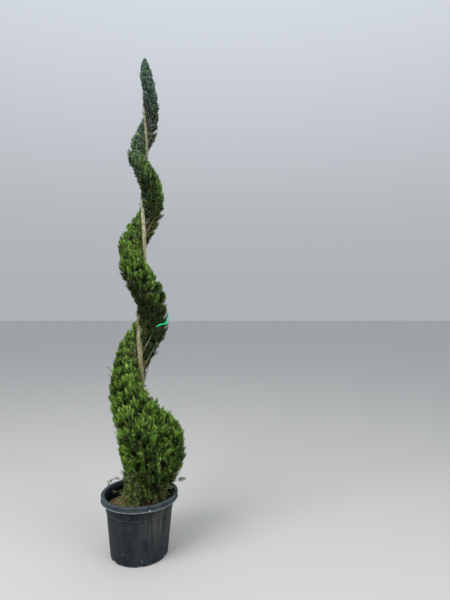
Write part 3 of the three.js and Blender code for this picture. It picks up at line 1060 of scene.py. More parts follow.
    def overshoot(self, points: Array) -> Array:
        """How far points stand out of the clipped surface: the smaller of the level and upright distances.

        Args:
            points: Points, three numbers each in the last axis.

        Returns:
            Distances, below zero inside.
        """
        height = points[..., 2]
        away = points[..., :2] - self.axis(height)[..., :2]
        radial = np.linalg.norm(away, axis=-1)
        winding = np.arctan2(away[..., 1], away[..., 0]) / (2 * np.pi) - 0.75
        best = np.full(height.shape, np.inf)
        for count in range(-1, int(self.last_turn) + 2):
            turn = np.clip(np.mod(winding, 1.0) + count, -0.1, self.last_turn)
            upper, lower = self.upper(turn), self.lower(turn)
            middle, half = (upper + lower) / 2, (upper - lower) / 2
            rise = (height - middle) / half
            tilt = np.arcsin(np.clip(rise, -1, 1))
            level = radial - np.where(np.abs(rise) < 1, self.reach(turn, tilt), 0.0)
            power = self.fullness(turn, rise)
            share = np.clip(radial / np.maximum(self.radius(turn), 1e-4), 0, 1)
            upright = np.abs(height - middle) - half * np.sqrt(np.maximum(0, 1 - share ** (2 / power)))
            both = (level > 0) & (upright > 0)
            best = np.minimum(best, np.where(both, np.minimum(level, upright), np.maximum(level, upright)))
        return best

    def scatter(self, count: int, rng: np.random.Generator, span: tuple[float, float],
                crowding: float) -> tuple[Array, Array]:
        """Places spread over the clipped surface by area, and closer together towards the top.

        Args:
            count: How many.
            rng: The source of the jitter.
            span: The first and the last turn.
            crowding: How many times as many stand on an area at the top as at the foot.

        Returns:
            Their turns and their tilts.
        """
        turns = np.linspace(*span, 500)
        tilts = np.linspace(-np.pi / 2, np.pi / 2, 61)
        corners = self.point(turns[:, None], tilts[None, :])
        along = corners[1:, :-1] - corners[:-1, :-1]
        up = corners[:-1, 1:] - corners[:-1, :-1]
        area = np.linalg.norm(np.cross(along, up), axis=-1)
        area = area * mix(crowding, 1.0, smooth(0.0, 2.8, turns[:-1]))[:, None]
        rows = np.concatenate([[0], np.cumsum(area.sum(axis=1))])
        order = np.arange(count)
        first = even(order, EVEN_STEPS[0], rng.normal(0, 0.15 / count, count))
        second = even(order, EVEN_STEPS[1], rng.normal(0, 0.004, count))
        turn = np.interp(first * rows[-1], rows, turns)
        row = np.clip(np.searchsorted(turns, turn) - 1, 0, len(area) - 1)
        columns = np.concatenate([np.zeros((len(area), 1)), np.cumsum(area, axis=1)], axis=1)
        columns = columns / columns[:, -1:]
        place = np.clip((columns[row] < second[:, None]).sum(axis=1) - 1, 0, len(tilts) - 2)
        left, right = columns[row, place], columns[row, place + 1]
        inside = (second - left) / np.maximum(right - left, 1e-9)
        return turn, mix(tilts[place], tilts[place + 1], np.clip(inside, 0, 1))


@dataclass(frozen=True)
class Tip:
    """The pointed mass round the trunk's end."""

    spiral: Spiral
    foot: float = 2.715
    top: float = 2.966
    half_width: float = 0.041
    widest: float = 0.42
    offset: float = 0.017
    foot_offset: float = 0.034
    forward: float = 0.3
    foot_width: float = 0.12
    taper: float = 1.7
    bluntness: float = 0.02

    def centre(self, share: Array) -> Array:
        """The mass's centre line, which stands to the right of the trunk at its foot.

        Args:
            share: Shares of the height.

        Returns:
            Points of the line.
        """
        height = mix(self.foot, self.top, share)
        below, above = self._parts(share)
        offset = self.offset * (1 - above) + self.foot_offset * (1 - below)
        return self.spiral.axis(height) + points_at(offset, -self.forward * offset, 0.0)

    def _parts(self, share: Array) -> tuple[Array, Array]:
        """How far below and above its widest place a share of the height lies."""
        below = np.minimum(1, share / self.widest)
        return below, np.maximum(0, (share - self.widest) / (1 - self.widest))

    def width(self, share: Array) -> Array:
        """The radius: a sine up to the widest place, then a power down to the point.

        Args:
            share: Shares of the height.

        Returns:
            The radii.
        """
        below, above = self._parts(share)
        swelling = np.sin(np.pi / 2 * mix(self.foot_width, 1.0, below))
        return self.half_width * swelling * (1 + self.bluntness - above ** self.taper)

    def point(self, share: Array, angle: Array, depth: Array = 1.0) -> Array:
        """A point of the mass at a share of its height, an angle and a depth from its centre line.

        Args:
            share: Shares of the height.
            angle: Angles round it.
            depth: 0 on the centre line and 1 on the surface.

        Returns:
            The points.
        """
        share, angle, depth = np.broadcast_arrays(share, angle, depth)
        radius = self.width(share) * (1 + self.spiral.unevenness * self.spiral.lump(2 * share, angle))
        return self.centre(share) + outward(angle) * (radius * depth)[..., None]

    def overshoot(self, points: Array) -> Array:
        """How far points stand out of the mass: level beside it, and upright above and below it.

        Args:
            points: The points.

        Returns:
            Distances, below zero inside.
        """
        raw = (points[..., 2] - self.foot) / (self.top - self.foot)
        share = np.clip(raw, 0, 1)
        radial = np.linalg.norm(points[..., :2] - self.centre(share)[..., :2], axis=-1) - self.width(share)
        beyond = np.abs(raw - share) * (self.top - self.foot)
        return np.where(beyond > 0, np.hypot(np.maximum(radial, 0), beyond), radial)


# Growth

@dataclass
class Limbs:
    """One order of branches: their paths and radii, and where each belongs along the spiral."""

    paths: Array
    radii: Array
    turn: Array


@dataclass
class Tufts:
    """Clumps of shoots: their hearts, and how each grows, how large it is and how deep it stays."""

    heart: Array
    turn: Array
    normal: Array
    growth: Array
    size: Array
    depth: Array
    brightness: Array


@dataclass
class Sprays:
    """Leaf sprays: where each stands, how it lies and which tint it has."""

    base: Array
    direction: Array
    facing: Array
    length: Array
    breadth: Array
    tint: Array
    turn: Array


def nearest(ends: Array, limbs: Limbs, from_step: int, uphill: float) -> tuple[Array, Array]:
    """The place on the limbs from which each end grows: the nearest one, where climbing down costs more.

    Args:
        ends: Where the new limbs end.
        limbs: The limbs that can carry them.
        from_step: The first step of a path that can carry a limb.
        uphill: What a metre above the end costs, on top of the distance.

    Returns:
        The carrying limb and the step of its path, for each end.
    """
    steps = limbs.paths.shape[1] - from_step
    places = limbs.paths[:, from_step:].reshape(-1, 3)
    found = np.empty(len(ends), np.int64)
    for start in range(0, len(ends), 400):
        part = ends[start:start + 400]
        square = (part ** 2).sum(1)[:, None] + (places ** 2).sum(1)[None] - 2 * part @ places.T
        cost = np.sqrt(np.maximum(square, 0)) + uphill * np.maximum(0, places[None, :, 2] - part[:, None, 2])
        found[start:start + 400] = np.argmin(cost, axis=1)
    return found // steps, found % steps + from_step


@dataclass
class SprayShape:
    """The outline of a leaf spray: a leading shoot, and slim side shoots that shorten towards its tip."""

    variants: int = 12
    pairs: int = 8
    first_pair: float = 0.05
    last_pair: float = 0.84
    alternation: float = 0.045
    longest: float = 0.46
    shortest: float = 0.07
    shortening: float = 0.8
    angles: tuple = (42.0, 26.0)
    width: float = 0.033
    widest: float = 0.42
    fold: float = 0.018
    curl: float = 0.18

    def templates(self) -> tuple[Array, Array, Array]:
        """Sprays of length one, along +Y with their flat side to +Z.

        The leading shoot is two kites of two triangles; each side shoot is one triangle that widens on
        the side of the tip.

        Returns:
            Points in the shape (variants, points, 3), the triangles of one spray, and how many steps
            darker than the spray's tip each triangle is.
        """
        rng = np.random.default_rng(SEED + 20)
        level = np.linspace(self.first_pair, self.last_pair, self.pairs)
        height = np.concatenate([level, level + self.alternation])
        side = np.repeat([1.0, -1.0], self.pairs)
        spread = (self.variants, len(side))
        lean = side * np.radians(mix(*self.angles, height)) * rng.uniform(0.75, 1.25, spread)
        lift = rng.normal(0, 0.17, spread)
        length = self.longest * (1 - height) ** self.shortening + self.shortest
        length = length * rng.uniform(0.75, 1.25, spread)
        direction = points_at(np.sin(lean) * np.cos(lift), np.cos(lean) * np.cos(lift), np.sin(lift))
        base = np.broadcast_to(points_at(0.0, height, 0.0), direction.shape)
        tipward = np.cross(UP, direction) * side[:, None]
        width = 2 * self.width * rng.uniform(0.75, 1.3, spread)[..., None]
        bulge = base + direction * (length * self.widest)[..., None] + tipward * width
        blades = np.stack([base, base + direction * length[..., None], bulge], axis=2)
        leader = [corner for low, broad, high in ((0.0, 0.32, 0.60), (0.42, 0.72, 1.0))
                  for corner in ((0, low, 0), (self.width, broad, -self.fold), (0, high, 0),
                                 (-self.width, broad, -self.fold))]
        leader = np.broadcast_to(np.array(leader), (self.variants, 8, 3))
        points = np.concatenate([leader, blades.reshape(self.variants, -1, 3)], axis=1)
        points[..., 2] += rng.uniform(-self.curl, self.curl, self.variants)[:, None] * points[..., 1] ** 2
        kites = np.array([[0, 1, 2], [0, 2, 3], [4, 5, 6], [4, 6, 7]])
        triangles = np.concatenate([kites, 8 + np.arange(3 * len(side)).reshape(-1, 3)])
        foot = np.concatenate([[0.2, 0.2, 0.8, 0.8], height])
        return points, triangles, (foot < 0.42).astype(np.int64) + (foot < 0.16)

    def skin(self, sprays: Sprays, seed: int) -> Skin:
        """Every spray as a template turned to its direction: base plus length times the turned points.

        Args:
            sprays: Where they stand and how they lie.
            seed: Which template each spray takes.

        Returns:
            All the sprays as one skin.
        """
        points, triangles, age = self.templates()
        count = len(sprays.base)
        local = points[np.random.default_rng(seed).integers(0, self.variants, count)]
        side = np.cross(sprays.direction, sprays.facing)
        world = local[..., 0:1] * side[:, None] * sprays.breadth[:, None, None]
        world = world + local[..., 1:2] * sprays.direction[:, None] + local[..., 2:3] * sprays.facing[:, None]
        world = sprays.base[:, None] + sprays.length[:, None, None] * world
        faces = copied(triangles, count, points.shape[1])
        darker = np.array([tint.place for tint in LeafTint.darker()])
        tones = np.stack([sprays.tint, darker[sprays.tint], darker[darker[sprays.tint]]], axis=1)
        return Skin(world.reshape(-1, 3), [faces], [tones[:, age].ravel()])


@dataclass(frozen=True)
class Sprig:
    """A single twig that strays from the clipped surface: its way, its sag, and the sprays that it bears."""

    start: tuple
    end: tuple
    sag: float
    radius: float
    sprays: int
    dead: bool = False


TOP_TWIG = Sprig((0.028, -0.004, 2.735), (-0.019, -0.010, 2.772), 0.002, 0.0011, 0, True)
LEFT_SPRIG = Sprig((-0.070, -0.060, 0.455), (-0.160, -0.085, 0.462), -0.012, 0.0011, 12)
LEFT_SHOOT = Sprig((-0.125, -0.078, 0.470), (-0.172, -0.082, 0.432), -0.010, 0.0009, 8)
LEFT_WISP = Sprig((-0.055, -0.085, 0.420), (-0.128, -0.098, 0.392), 0.004, 0.0010, 4)
RIGHT_TWIG = Sprig((0.115, -0.060, 0.452), (0.232, -0.085, 0.408), -0.010, 0.0012, 2, True)
RIGHT_FORK = Sprig((0.165, -0.072, 0.441), (0.226, -0.105, 0.382), 0.006, 0.0009, 1, True)
RIGHT_SHOOT = Sprig((0.130, -0.100, 0.420), (0.212, -0.118, 0.432), 0.004, 0.0010, 3, True)
SIDE_TWIGS = (Sprig((-0.120, -0.020, 1.070), (-0.176, -0.030, 1.098), 0.004, 0.0010, 2, True),
              Sprig((-0.125, -0.030, 1.045), (-0.172, -0.038, 1.060), 0.004, 0.0009, 1, True))
SPRIGS = (TOP_TWIG, LEFT_SPRIG, LEFT_SHOOT, LEFT_WISP, RIGHT_TWIG, RIGHT_FORK, RIGHT_SHOOT, *SIDE_TWIGS)


@dataclass(frozen=True)
class PaintedLight:
    """Painted light: foliage dealt brighter tints where it faces one way between two heights: how much, which
    way it faces, and where it starts and ends.
    """

    strength: float
    axis: int
    facing: tuple
    rise: tuple
    fall: tuple

    def share(self, normal: Array, height: Array) -> Array:
        """How much painted light the foliage gets that faces along the normal at a height."""
        facing = self.strength * smooth(*self.facing, normal[:, self.axis])
        return facing * smooth(*self.rise, height) * smooth(*self.fall, height)


@dataclass(frozen=True)
class Dealing:
    """How much each thing counts when the leaf colours are dealt, in steps of the tint.

    Where there are two numbers, the first holds for the crown and the second for its shaggy base. Upward,
    deep, inner, below, shaded and the painted light paint light and shade into the tints, outward partly so;
    base lifts the shaggy base.
    """

    middle: float = 2.68
    upward: float = 1.1
    patchy: tuple = (0.55, 0.75)
    outward: float = 0.85
    deep: tuple = (1.7, 1.3)
    deepest: float = 0.035
    inner: float = 0.4
    below: tuple = (1.3, 0.4)
    base: float = 0.6
    glow: float = 0.9
    shaded: float = 0.6
    crest: float = 0.6
    chance: float = 0.95
    cool: float = 0.97
    olive: float = 0.4
    dry: tuple = (0.003, 0.03, 0.02, 0.07)


@dataclass
class Crown:
    """Boughs, branchlets, twigs and sprays, each order growing from the one before."""

    spiral: Spiral
    tip: Tip
    shown_turns: tuple = (0.34, 0.62, 0.85, 1.27, 1.55, 1.78, 2.2, 2.3, 2.41)
    shown_reach: float = 0.62
    shown_entry: float = 0.3
    shown_rise: float = 1.8
    shown_knee: float = 0.12
    shown_radii: tuple = (0.0036, 0.0013)
    shown_wander: float = 0.0022
    bough_gap: float = 0.020
    bough_tilts: tuple = (-0.75, 0.8)
    bough_ends: tuple = (0.45, 0.62)
    bough_radii: tuple = (0.0050, 0.0020)
    bough_steps: int = 12
    tip_boughs_count: int = 26
    tip_radii: tuple = (0.0020, 0.0011)
    bough_grain: float = 0.09
    tufts: int = 1800
    tip_tufts: int = 130
    tip_turn: float = -0.5
    twigs_each: int = 7
    twig_radii: tuple = (0.0010, 0.0005)
    crowding: float = 2.8
    tuft_sizes: tuple = (0.0145, 0.0245)
    tuft_unevenness: tuple = (0.6, 1.45)
    tuft_shares: tuple = (0.35, 0.9)
    tuft_jitter: float = 0.26
    tuft_tones: tuple = (0.75, 0.6, 1.6)
    tip_tuft_size: float = 0.0115
    heart_depth: tuple = (0.022, 0.040)
    inner_share: float = 0.25
    inner_depth: float = 0.026
    deepest: float = 0.016
    margin: float = 0.005
    tip_margin: float = 0.013
    waist_turns: tuple = (2.79, 3.14)
    waist_margin: float = 0.018
    waist_spread: float = 0.09
    trims: tuple = ((1.00, 0.11, 0.054), (2.03, 0.08, -0.024))
    # Painted light: zones of the crown whose tints are dealt brighter, as if lit.
    glows: tuple = (PaintedLight(1.0, 0, (0.15, 0.8), (1.80, 1.98), (2.45, 2.30)),
                    PaintedLight(1.2, 0, (0.25, -0.4), (0.52, 0.66), (1.02, 0.88)),
                    PaintedLight(1.0, 1, (0.0, -0.5), (0.70, 0.82), (1.0, 0.9)),
                    PaintedLight(0.6, 1, (0.0, -0.5), (1.60, 1.68), (1.88, 1.78)))
    # A hollow low on the front: its tufts sit deeper, and hollow_shade paints shade on their tints.
    hollow: tuple = (0.045, -0.215, 0.715)
    hollow_spread: tuple = (0.040, 0.080, 0.075)
    hollow_depth: float = 0.022
    hollow_shade: float = 2.2
    dealing: Dealing = Dealing()
    loosest: tuple = (0.028, 0.017)
    widest_gap: float = 0.012
    shaded_turn: float = 2.12
    patch_size: float = 0.11
    inner_each: int = 3
    inner_length: tuple = (0.044, 0.090)
    inner_margin: float = 0.018
    inner_breadth: tuple = (1.3, 1.75)
    inner_least: float = 0.012
    branchlet_steps: int = 6
    spray_places: tuple = (1.0, 0.72, 0.42)
    spray_length: tuple = (0.027, 0.047)
    spray_breadth: tuple = (0.7, 1.1)
    spray_spread: tuple = (0.16, 0.38)
    clip_slack: float = 0.005
    foot_wisps: int = 230
    foot_rising: float = 0.45
    foot_starts: tuple = ((0.305, 0.400), (0.430, 0.520))
    foot_ends: tuple = ((0.350, 0.460), (0.302, 0.390))
    foot_spray_count: int = 9
    foot_spray_length: tuple = (0.018, 0.036)
    stray_spray_length: tuple = (0.014, 0.026)
    foot_reach: float = 0.138
    foot_centre: tuple = (0.036, -0.006, 0.0)
    zones: tuple = (-1.0, 0.75, 1.5, 2.0, 2.5, 3.0, 3.5, 5.0)
    twig_split: float = 2.0
    quarters: int = 17
    rng: np.random.Generator = field(default_factory=lambda: np.random.default_rng(SEED + 30))

    def jitter(self, spread: float, count: int) -> Array:
        """Random vectors round nought."""
        return self.rng.normal(0, spread, (count, 3))

    def shown_boughs(self) -> Limbs:
        """The boughs that cross the open windows, on the lines of their CAD nodes.

        Returns:
            The boughs.
        """
        turn = np.array(self.shown_turns)
        way = outward(self.spiral.angle(turn))
        reach = self.shown_reach * self.spiral.radius(turn)
        high = mix(self.spiral.lower(turn), self.spiral.upper(turn), self.shown_entry)
        start = self.spiral.trunk_line(high - self.shown_rise * reach)
        end = self.spiral.axis(high) + way * reach[:, None]
        knee = (start + end) / 2 + way * (self.shown_knee * reach)[:, None]
        paths = bezier(start, knee, end, 26)
        wander = ripple(paths, SEED + 31, 0.035)[..., None] * outward(self.spiral.angle(turn) + 1.6)[:, None]
        paths = paths + self.shown_wander * wander
        return Limbs(paths, tapered(paths, *self.shown_radii), turn)

    def hidden_boughs(self) -> Limbs:
        """The boughs inside the foliage, from the trunk up and out into the middle of the band.

        Returns:
            The boughs.
        """
        turn = np.arange(0.0, self.spiral.last_turn, self.bough_gap)
        turn = turn + self.rng.normal(0, 0.3 * self.bough_gap, len(turn))
        tilt = self.rng.uniform(*self.bough_tilts, len(turn))
        end = self.spiral.point(turn, tilt, self.rng.uniform(*self.bough_ends, len(turn)))
        reach = self.spiral.reach(turn, tilt)
        height = end[:, 2] - reach * self.rng.uniform(0.5, 1.0, len(turn))
        height = np.maximum(height, self.spiral.lower(turn) + 0.01)
        start = self.spiral.trunk_line(np.minimum(height, end[:, 2]))
        knee = mix(start, end, 0.55) - UP * (0.12 * reach)[:, None]
        size = np.clip(self.spiral.radius(turn) / 0.2, 0.35, 1.1)
        paths = bezier(start, knee, end, self.bough_steps)
        return Limbs(paths, size[:, None] * tapered(paths, *self.bough_radii), turn)

    def tip_boughs(self) -> Limbs:
        """Short shoots from the trunk's end into the pointed mass.

        Returns:
            The shoots.
        """
        share = self.rng.uniform(0.02, 0.9, self.tip_boughs_count)
        end = self.tip.point(share, self.rng.uniform(0, 2 * np.pi, len(share)), 0.35)
        start = self.spiral.trunk_line(np.minimum(end[:, 2] - 0.03, self.spiral.trunk.tip - 0.004))
        paths = bezier(start, (start + end) / 2 + UP * 0.004, end, self.bough_steps)
        return Limbs(paths, tapered(paths, *self.tip_radii), np.full(len(share), self.tip_turn))

    def band_tufts(self) -> Tufts:
        """Tufts spread under the clipped surface, larger and wider apart further down.

        Returns:
            The tufts.
        """
        turn, tilt = self.spiral.scatter(self.tufts, self.rng, (-0.06, self.spiral.last_turn), self.crowding)
        count = len(turn)
        normal = self.spiral.normal(turn, tilt)
        low = smooth(0.2, 3.4, turn)
        below = smooth(-0.1, -1.0, tilt)
        hanging = smooth(-0.8, -1.35, tilt)
        rise = 1.0 - 0.75 * below - 0.55 * hanging
        growth = unit(UP * rise[:, None] + normal * 0.5 + self.jitter(self.tuft_jitter, count))
        inner = self.inner_depth * (self.rng.random(count) < self.inner_share)
        scale = mix(0.6, 1.0, low)
        depth = (self.rng.uniform(*self.heart_depth, count) + inner) * scale
        share = np.clip(1 - depth / np.maximum(self.spiral.reach(turn, tilt), 1e-3), *self.tuft_shares)
        heart = self.spiral.point(turn, tilt, share)
        size = mix(*self.tuft_sizes, low) * self.rng.uniform(*self.tuft_unevenness, count)
        patches = ripple(heart * [1.0, 1.0, 0.45], SEED + 32, self.patch_size)
        hollow = np.exp(-(((heart - self.hollow) / self.hollow_spread) ** 2).sum(axis=1))
        depth = (self.deepest * self.rng.random(count) ** 2 + inner) * scale + self.trimmed(turn, tilt)
        chance, patchy, most = self.tuft_tones
        brightness = np.clip(self.rng.normal(0, chance, count) + patchy * patches, -most, most)
        # The hollow's tufts sit deeper, and their brightness takes painted shade.
        return Tufts(heart, turn, normal, growth, size, depth + self.hollow_depth * hollow,
                     brightness - self.hollow_shade * hollow)

    def trimmed(self, turn: Array, tilt: Array) -> Array:
        """How much shorter the underside is cut: clear of the trunk at one turn, and over it at another."""
        cut = sum(depth * bell(turn - middle, spread) for middle, spread, depth in self.trims)
        return cut * smooth(-0.2, -0.8, tilt)

    def top_tufts(self) -> Tufts:
        """Fine, nearly upright tufts of the pointed mass.

        Returns:
            The tufts.
        """
        count = self.tip_tufts
        order = np.arange(count)
        share = even(order, EVEN_STEPS[0]) * 0.94
        angle = 2 * np.pi * even(order, EVEN_STEPS[1])
        heart = self.tip.point(share, angle, self.rng.uniform(0.45, 0.8, count))
        normal = unit(outward(angle) + UP * 0.25)
        growth = unit(UP + normal * 0.42 + self.jitter(0.10, count))
        return Tufts(heart, np.full(count, self.tip_turn), normal, growth,
                     self.tip_tuft_size * self.rng.uniform(0.8, 1.25, count), 0.006 * self.rng.random(count),
                     np.clip(self.rng.normal(0, 0.9, count), -1.5, 1.5))

    def branchlets(self, tufts: Tufts, carriers: Limbs) -> Limbs:
        """A branchlet to each tuft: it leaves its carrier the carrier's way and bends towards its growth.

        Args:
            tufts: Where the branchlets end.
            carriers: The boughs.

        Returns:
            The branchlets, one for each tuft.
        """
        end = tufts.heart
        limb, step = nearest(end, carriers, 3, 0.8)
        start = carriers.paths[limb, step]
        length = np.linalg.norm(end - start, axis=1, keepdims=True)
        along = unit(start - carriers.paths[limb, step - 1])
        knee = start + length * (0.30 * along + 0.25 * unit(end - start))
        knee = mix(knee, end - tufts.growth * length * 0.45, 0.4)
        knee = knee + self.rng.normal(0, 0.05, end.shape) * length
        radii = np.linspace(1.0, 0.45, self.branchlet_steps) * (0.0009 + 0.04 * tufts.size[:, None])
        return Limbs(bezier(start, knee, end, self.branchlet_steps), radii, tufts.turn)

    def twigs(self, branchlets: Limbs, tufts: Tufts) -> tuple[Limbs, Array, Array]:
        """Twigs that fill each tuft: a flame that is widest at its heart and narrows along its growth.

        Args:
            branchlets: What carries them.
            tufts: The tufts.

        Returns:
            The twigs, the tuft of each, and how far up the flame each ends, from 0 to 1.
        """
        owner = np.repeat(np.arange(len(tufts.turn)), self.twigs_each)
        count = len(owner)
        ahead = self.rng.random(count)
        size = tufts.size[owner][:, None]
        growth = tufts.growth[owner]
        end = tufts.heart[owner] + growth * size * (3.3 * ahead - 0.5)[:, None]
        end = end + self.jitter(0.33, count) * size * (1.2 - 0.80 * ahead)[:, None]
        over = self.over(end) + (self.margins(tufts.turn) + tufts.depth)[owner]
        end = end - growth * np.clip(over, 0, 0.06)[:, None]
        step = self.rng.integers(self.branchlet_steps // 2, self.branchlet_steps, count)
        start = branchlets.paths[owner, step]
        length = np.linalg.norm(end - start, axis=1, keepdims=True)
        knee = mix(start, end, 0.5) - growth * 0.12 * length + self.rng.normal(0, 0.07, end.shape) * length
        paths = bezier(start, knee, end, 3)
        return Limbs(paths, tapered(paths, *self.twig_radii), tufts.turn[owner]), owner, ahead

    def margins(self, turn: Array) -> Array:
        """How far under the clipped surface the twigs stop: more at the tip and at two slim places."""
        waist = sum(bell(turn - place, self.waist_spread) for place in self.waist_turns)
        return np.where(turn < 0, self.tip_margin, self.margin + self.waist_margin * waist)

    def over(self, points: Array) -> Array:
        """How far points stand out of the clipped crown."""
        return np.minimum(self.spiral.overshoot(points), self.tip.overshoot(points))

    def joined(self, points: Array, turn: Array) -> Array:
        """Which points stand near enough to the crown to belong to it."""
        return self.over(points) < mix(*self.loosest, smooth(0.6, 1.2, turn))

    def within(self, points: Array, turn: Array) -> Array:
        """Which points stand no further out than the band does at its widest.

        Args:
            points: The points.
            turn: Their turns.

        Returns:
            True for the ones to keep.
        """
        away = np.linalg.norm((points - self.spiral.axis(points[:, 2]))[:, :2], axis=1)
        room = self.spiral.radius(turn) * (1 + self.spiral.unevenness) + self.widest_gap
        return (turn < 0.5) | (away < room)

    def sprays(self, twigs: Limbs, tufts: Tufts, ahead: Array) -> Sprays:
        """Sprays at the end and along the outer part of each twig, clipped to the crown's surface.

        Args:
            twigs: What carries them.
            tufts: The tuft of each twig.
            ahead: How far up its tuft each twig ends.

        Returns:
            The sprays.
        """
        groups = []
        count = len(twigs.paths)
        for order, place in enumerate(self.spray_places):
            step = place * (twigs.paths.shape[1] - 1)
            low = int(min(np.floor(step), twigs.paths.shape[1] - 2))
            base = mix(twigs.paths[:, low], twigs.paths[:, low + 1], step - low)
            along = unit(twigs.paths[:, low + 1] - twigs.paths[:, low])
            aside = across(along, self.rng.normal(size=(count, 3)))
            spread = self.spray_spread[min(order, 1)]
            way = 0.45 * along + 0.75 * tufts.growth + 0.36 * UP + spread * aside
            way = unit(way + self.jitter(0.12, count))
            facing = across(way, tufts.normal + self.jitter(0.75, count))
            length = mix(*self.spray_length, smooth(2.8, 0.6, base[:, 2])) * self.rng.uniform(0.7, 1.3, count)
            length = self._clipped(base, way, length, self.margins(tufts.turn) - self.margin)
            tint = self._tints(base + way * length[:, None], tufts, ahead, order)
            breadth = self.rng.uniform(*self.spray_breadth, count)
            groups.append(Sprays(base, way, facing, length, breadth, tint, twigs.turn))
        return together(groups)

    def inner_sprays(self, branchlets: Limbs, tufts: Tufts) -> Sprays:
        """Broad sprays on the branchlets, deep in the mass where the light does not reach, dealt the darkest
        tints as painted shade.

        Args:
            branchlets: What carries them.
            tufts: The tuft at the end of each branchlet.

        Returns:
            The sprays.
        """
        owner = np.repeat(np.arange(len(tufts.turn)), self.inner_each)
        count = len(owner)
        step = self.rng.integers(2, self.branchlet_steps, count)
        base = branchlets.paths[owner, step]
        along = unit(base - branchlets.paths[owner, step - 1])
        way = unit(0.6 * along + 0.5 * tufts.growth[owner] + 0.5 * self.rng.normal(size=(count, 3)))
        facing = across(way, tufts.normal[owner] + self.jitter(0.5, count))
        length = mix(*self.inner_length, smooth(2.8, 0.9, base[:, 2])) * self.rng.uniform(0.8, 1.2, count)
        length = self._shortened(base, way, length, self.inner_least, -self.inner_margin)
        # Painted shade: the darkest tints only.
        cool = self.rng.random(count) < smooth(1.6, 2.85, base[:, 2])
        green = self.rng.integers(0, 2, count) + LeafTint.DEEP.place
        tint = np.where(cool, LeafTint.GREY_DEEP.place, green)
        breadth = self.rng.uniform(*self.inner_breadth, count)
        return Sprays(base, way, facing, length, breadth, tint, tufts.turn[owner])

    def _clipped(self, base: Array, way: Array, length: Array, margin: Array) -> Array:
        """Shortens the sprays that would stand out of the clipped surface by more than a ragged edge.

        Args:
            base: Where the sprays start.
            way: Their directions.
            length: Their full lengths.
            margin: How far under the surface each has to stay, before its ragged edge.

        Returns:
            The clipped lengths.
        """
        slack = self.clip_slack * np.minimum(2.1, self.rng.exponential(1.0, len(length))) - margin
        return self._shortened(base, way, length, 0.45 * length, slack)

    def _shortened(self, base: Array, way: Array, length: Array, least: Array, slack: Array) -> Array:
        """Takes off a spray's length what stands out of the crown, three times over.

        Args:
            base: Where the sprays start.
            way: Their directions.
            length: Their lengths.
            least: What is left of each at the least.
            slack: How far each may stand out.

        Returns:
            The shorter lengths.
        """
        for _ in range(3):
            over = self.over(base + way * length[:, None]) - slack
            length = np.maximum(least, length - np.maximum(0, over))
        return length

    def _tints(self, tips: Array, tufts: Tufts, ahead: Array, order: int) -> Array:
        """Deals the leaf colours, with painted light and shade: brighter up and out, darker in and below, and
        grey-green at the top.

        Args:
            tips: The sprays' ends.
            tufts: The tuft of each spray.
            ahead: How far up its tuft each spray stands.
            order: 0 at the twigs' ends, and more further in.

        Returns:
            The tint's place for each spray.
        """
        deal = self.dealing
        count = len(tips)
        height = tips[:, 2]
        upward = tufts.normal[:, 2]
        depth = np.clip(-self.over(tips) / deal.deepest, 0, 1)
        below = smooth(0.15, -0.55, upward)
        foot = smooth(0.56, 0.42, height)
        glow = sum(place.share(tufts.normal, height) for place in self.glows)
        shaded = bell(tufts.turn - self.shaded_turn, 0.2) * smooth(0.45, -0.1, upward)
        base = smooth(2.55, 2.85, tufts.turn)
        # Painted light and shade: faces turned up lighter, tuft tips lighter (partly young growth), deep and
        # inner sprays and undersides darker.
        level = deal.middle + deal.upward * upward + mix(*deal.patchy, base) * tufts.brightness
        level = level + deal.outward * (ahead - 0.5)
        level = level - mix(*deal.deep, base) * depth - deal.inner * order - mix(*deal.below, base) * below
        # The shaggy base lifted; painted light on the lit zones, and painted shade at the shaded turn.
        level = level + deal.base * base + deal.glow * glow - deal.shaded * shaded
        level = level + self.rng.normal(0, deal.chance, count)
        level = level + deal.crest * smooth(2.42, 2.52, height) * smooth(2.80, 2.70, height)
        brightest = np.where((height > 2.0) & (glow < 0.3), LeafTint.FRESH.place, LeafTint.LIME.place)
        brightest = np.where(height > 2.4, LeafTint.MIDDLE.place, brightest)
        green = np.clip(np.round(level), 0, brightest).astype(np.int64)
        grey = np.clip(np.round(level * 0.72), 0, 3).astype(np.int64) + LeafTint.GREY_DEEP.place
        coolness = deal.cool * smooth(1.85, 2.85, height) * (1 - 0.6 * glow)
        tint = np.where(self.rng.random(count) < coolness, grey, green)
        tint = np.where(self.rng.random(count) < deal.olive * foot, LeafTint.OLIVE.place, tint)
        anywhere, under, within, low = deal.dry
        dry = anywhere + under * below * (tufts.turn < 3.0) + within * (order > 1) + low * foot
        return np.where(self.rng.random(count) < dry, LeafTint.DEAD.place, tint)

    def foot_growth(self) -> tuple[Limbs, Sprays]:
        """Thin leafy twigs round the trunk's foot: some rise out of it and some hang from the skirt.

        Returns:
            The twigs and their sprays.
        """
        count = self.foot_wisps
        way = outward(self.rng.uniform(0, 2 * np.pi, count))
        rising = self.rng.random(count) < self.foot_rising
        reach = self.foot_reach * np.sqrt(self.rng.uniform(0.06, 1.0, count))
        low, high = (np.where(rising, self.rng.uniform(*up, count), self.rng.uniform(*down, count))
                     for up, down in (self.foot_starts, self.foot_ends))
        start = self.spiral.axis(low) + way * np.where(rising, 0.012, 0.45 * reach)[:, None]
        end = self.spiral.axis(high) + way * reach[:, None] + np.array(self.foot_centre)
        droop = np.where(rising, -0.2, 0.25)[:, None] * np.linalg.norm(end - start, axis=1, keepdims=True)
        knee = (start + end) / 2 + UP * droop + self.jitter(0.012, count)
        paths = bezier(start, knee, end, 5)
        turn = np.full(count, 4.0)
        limbs = Limbs(paths, tapered(paths, *self.twig_radii), turn)
        number = np.full(count, self.foot_spray_count)
        return limbs, self._sparse(paths, turn, number, self.foot_spray_length, 0.05)

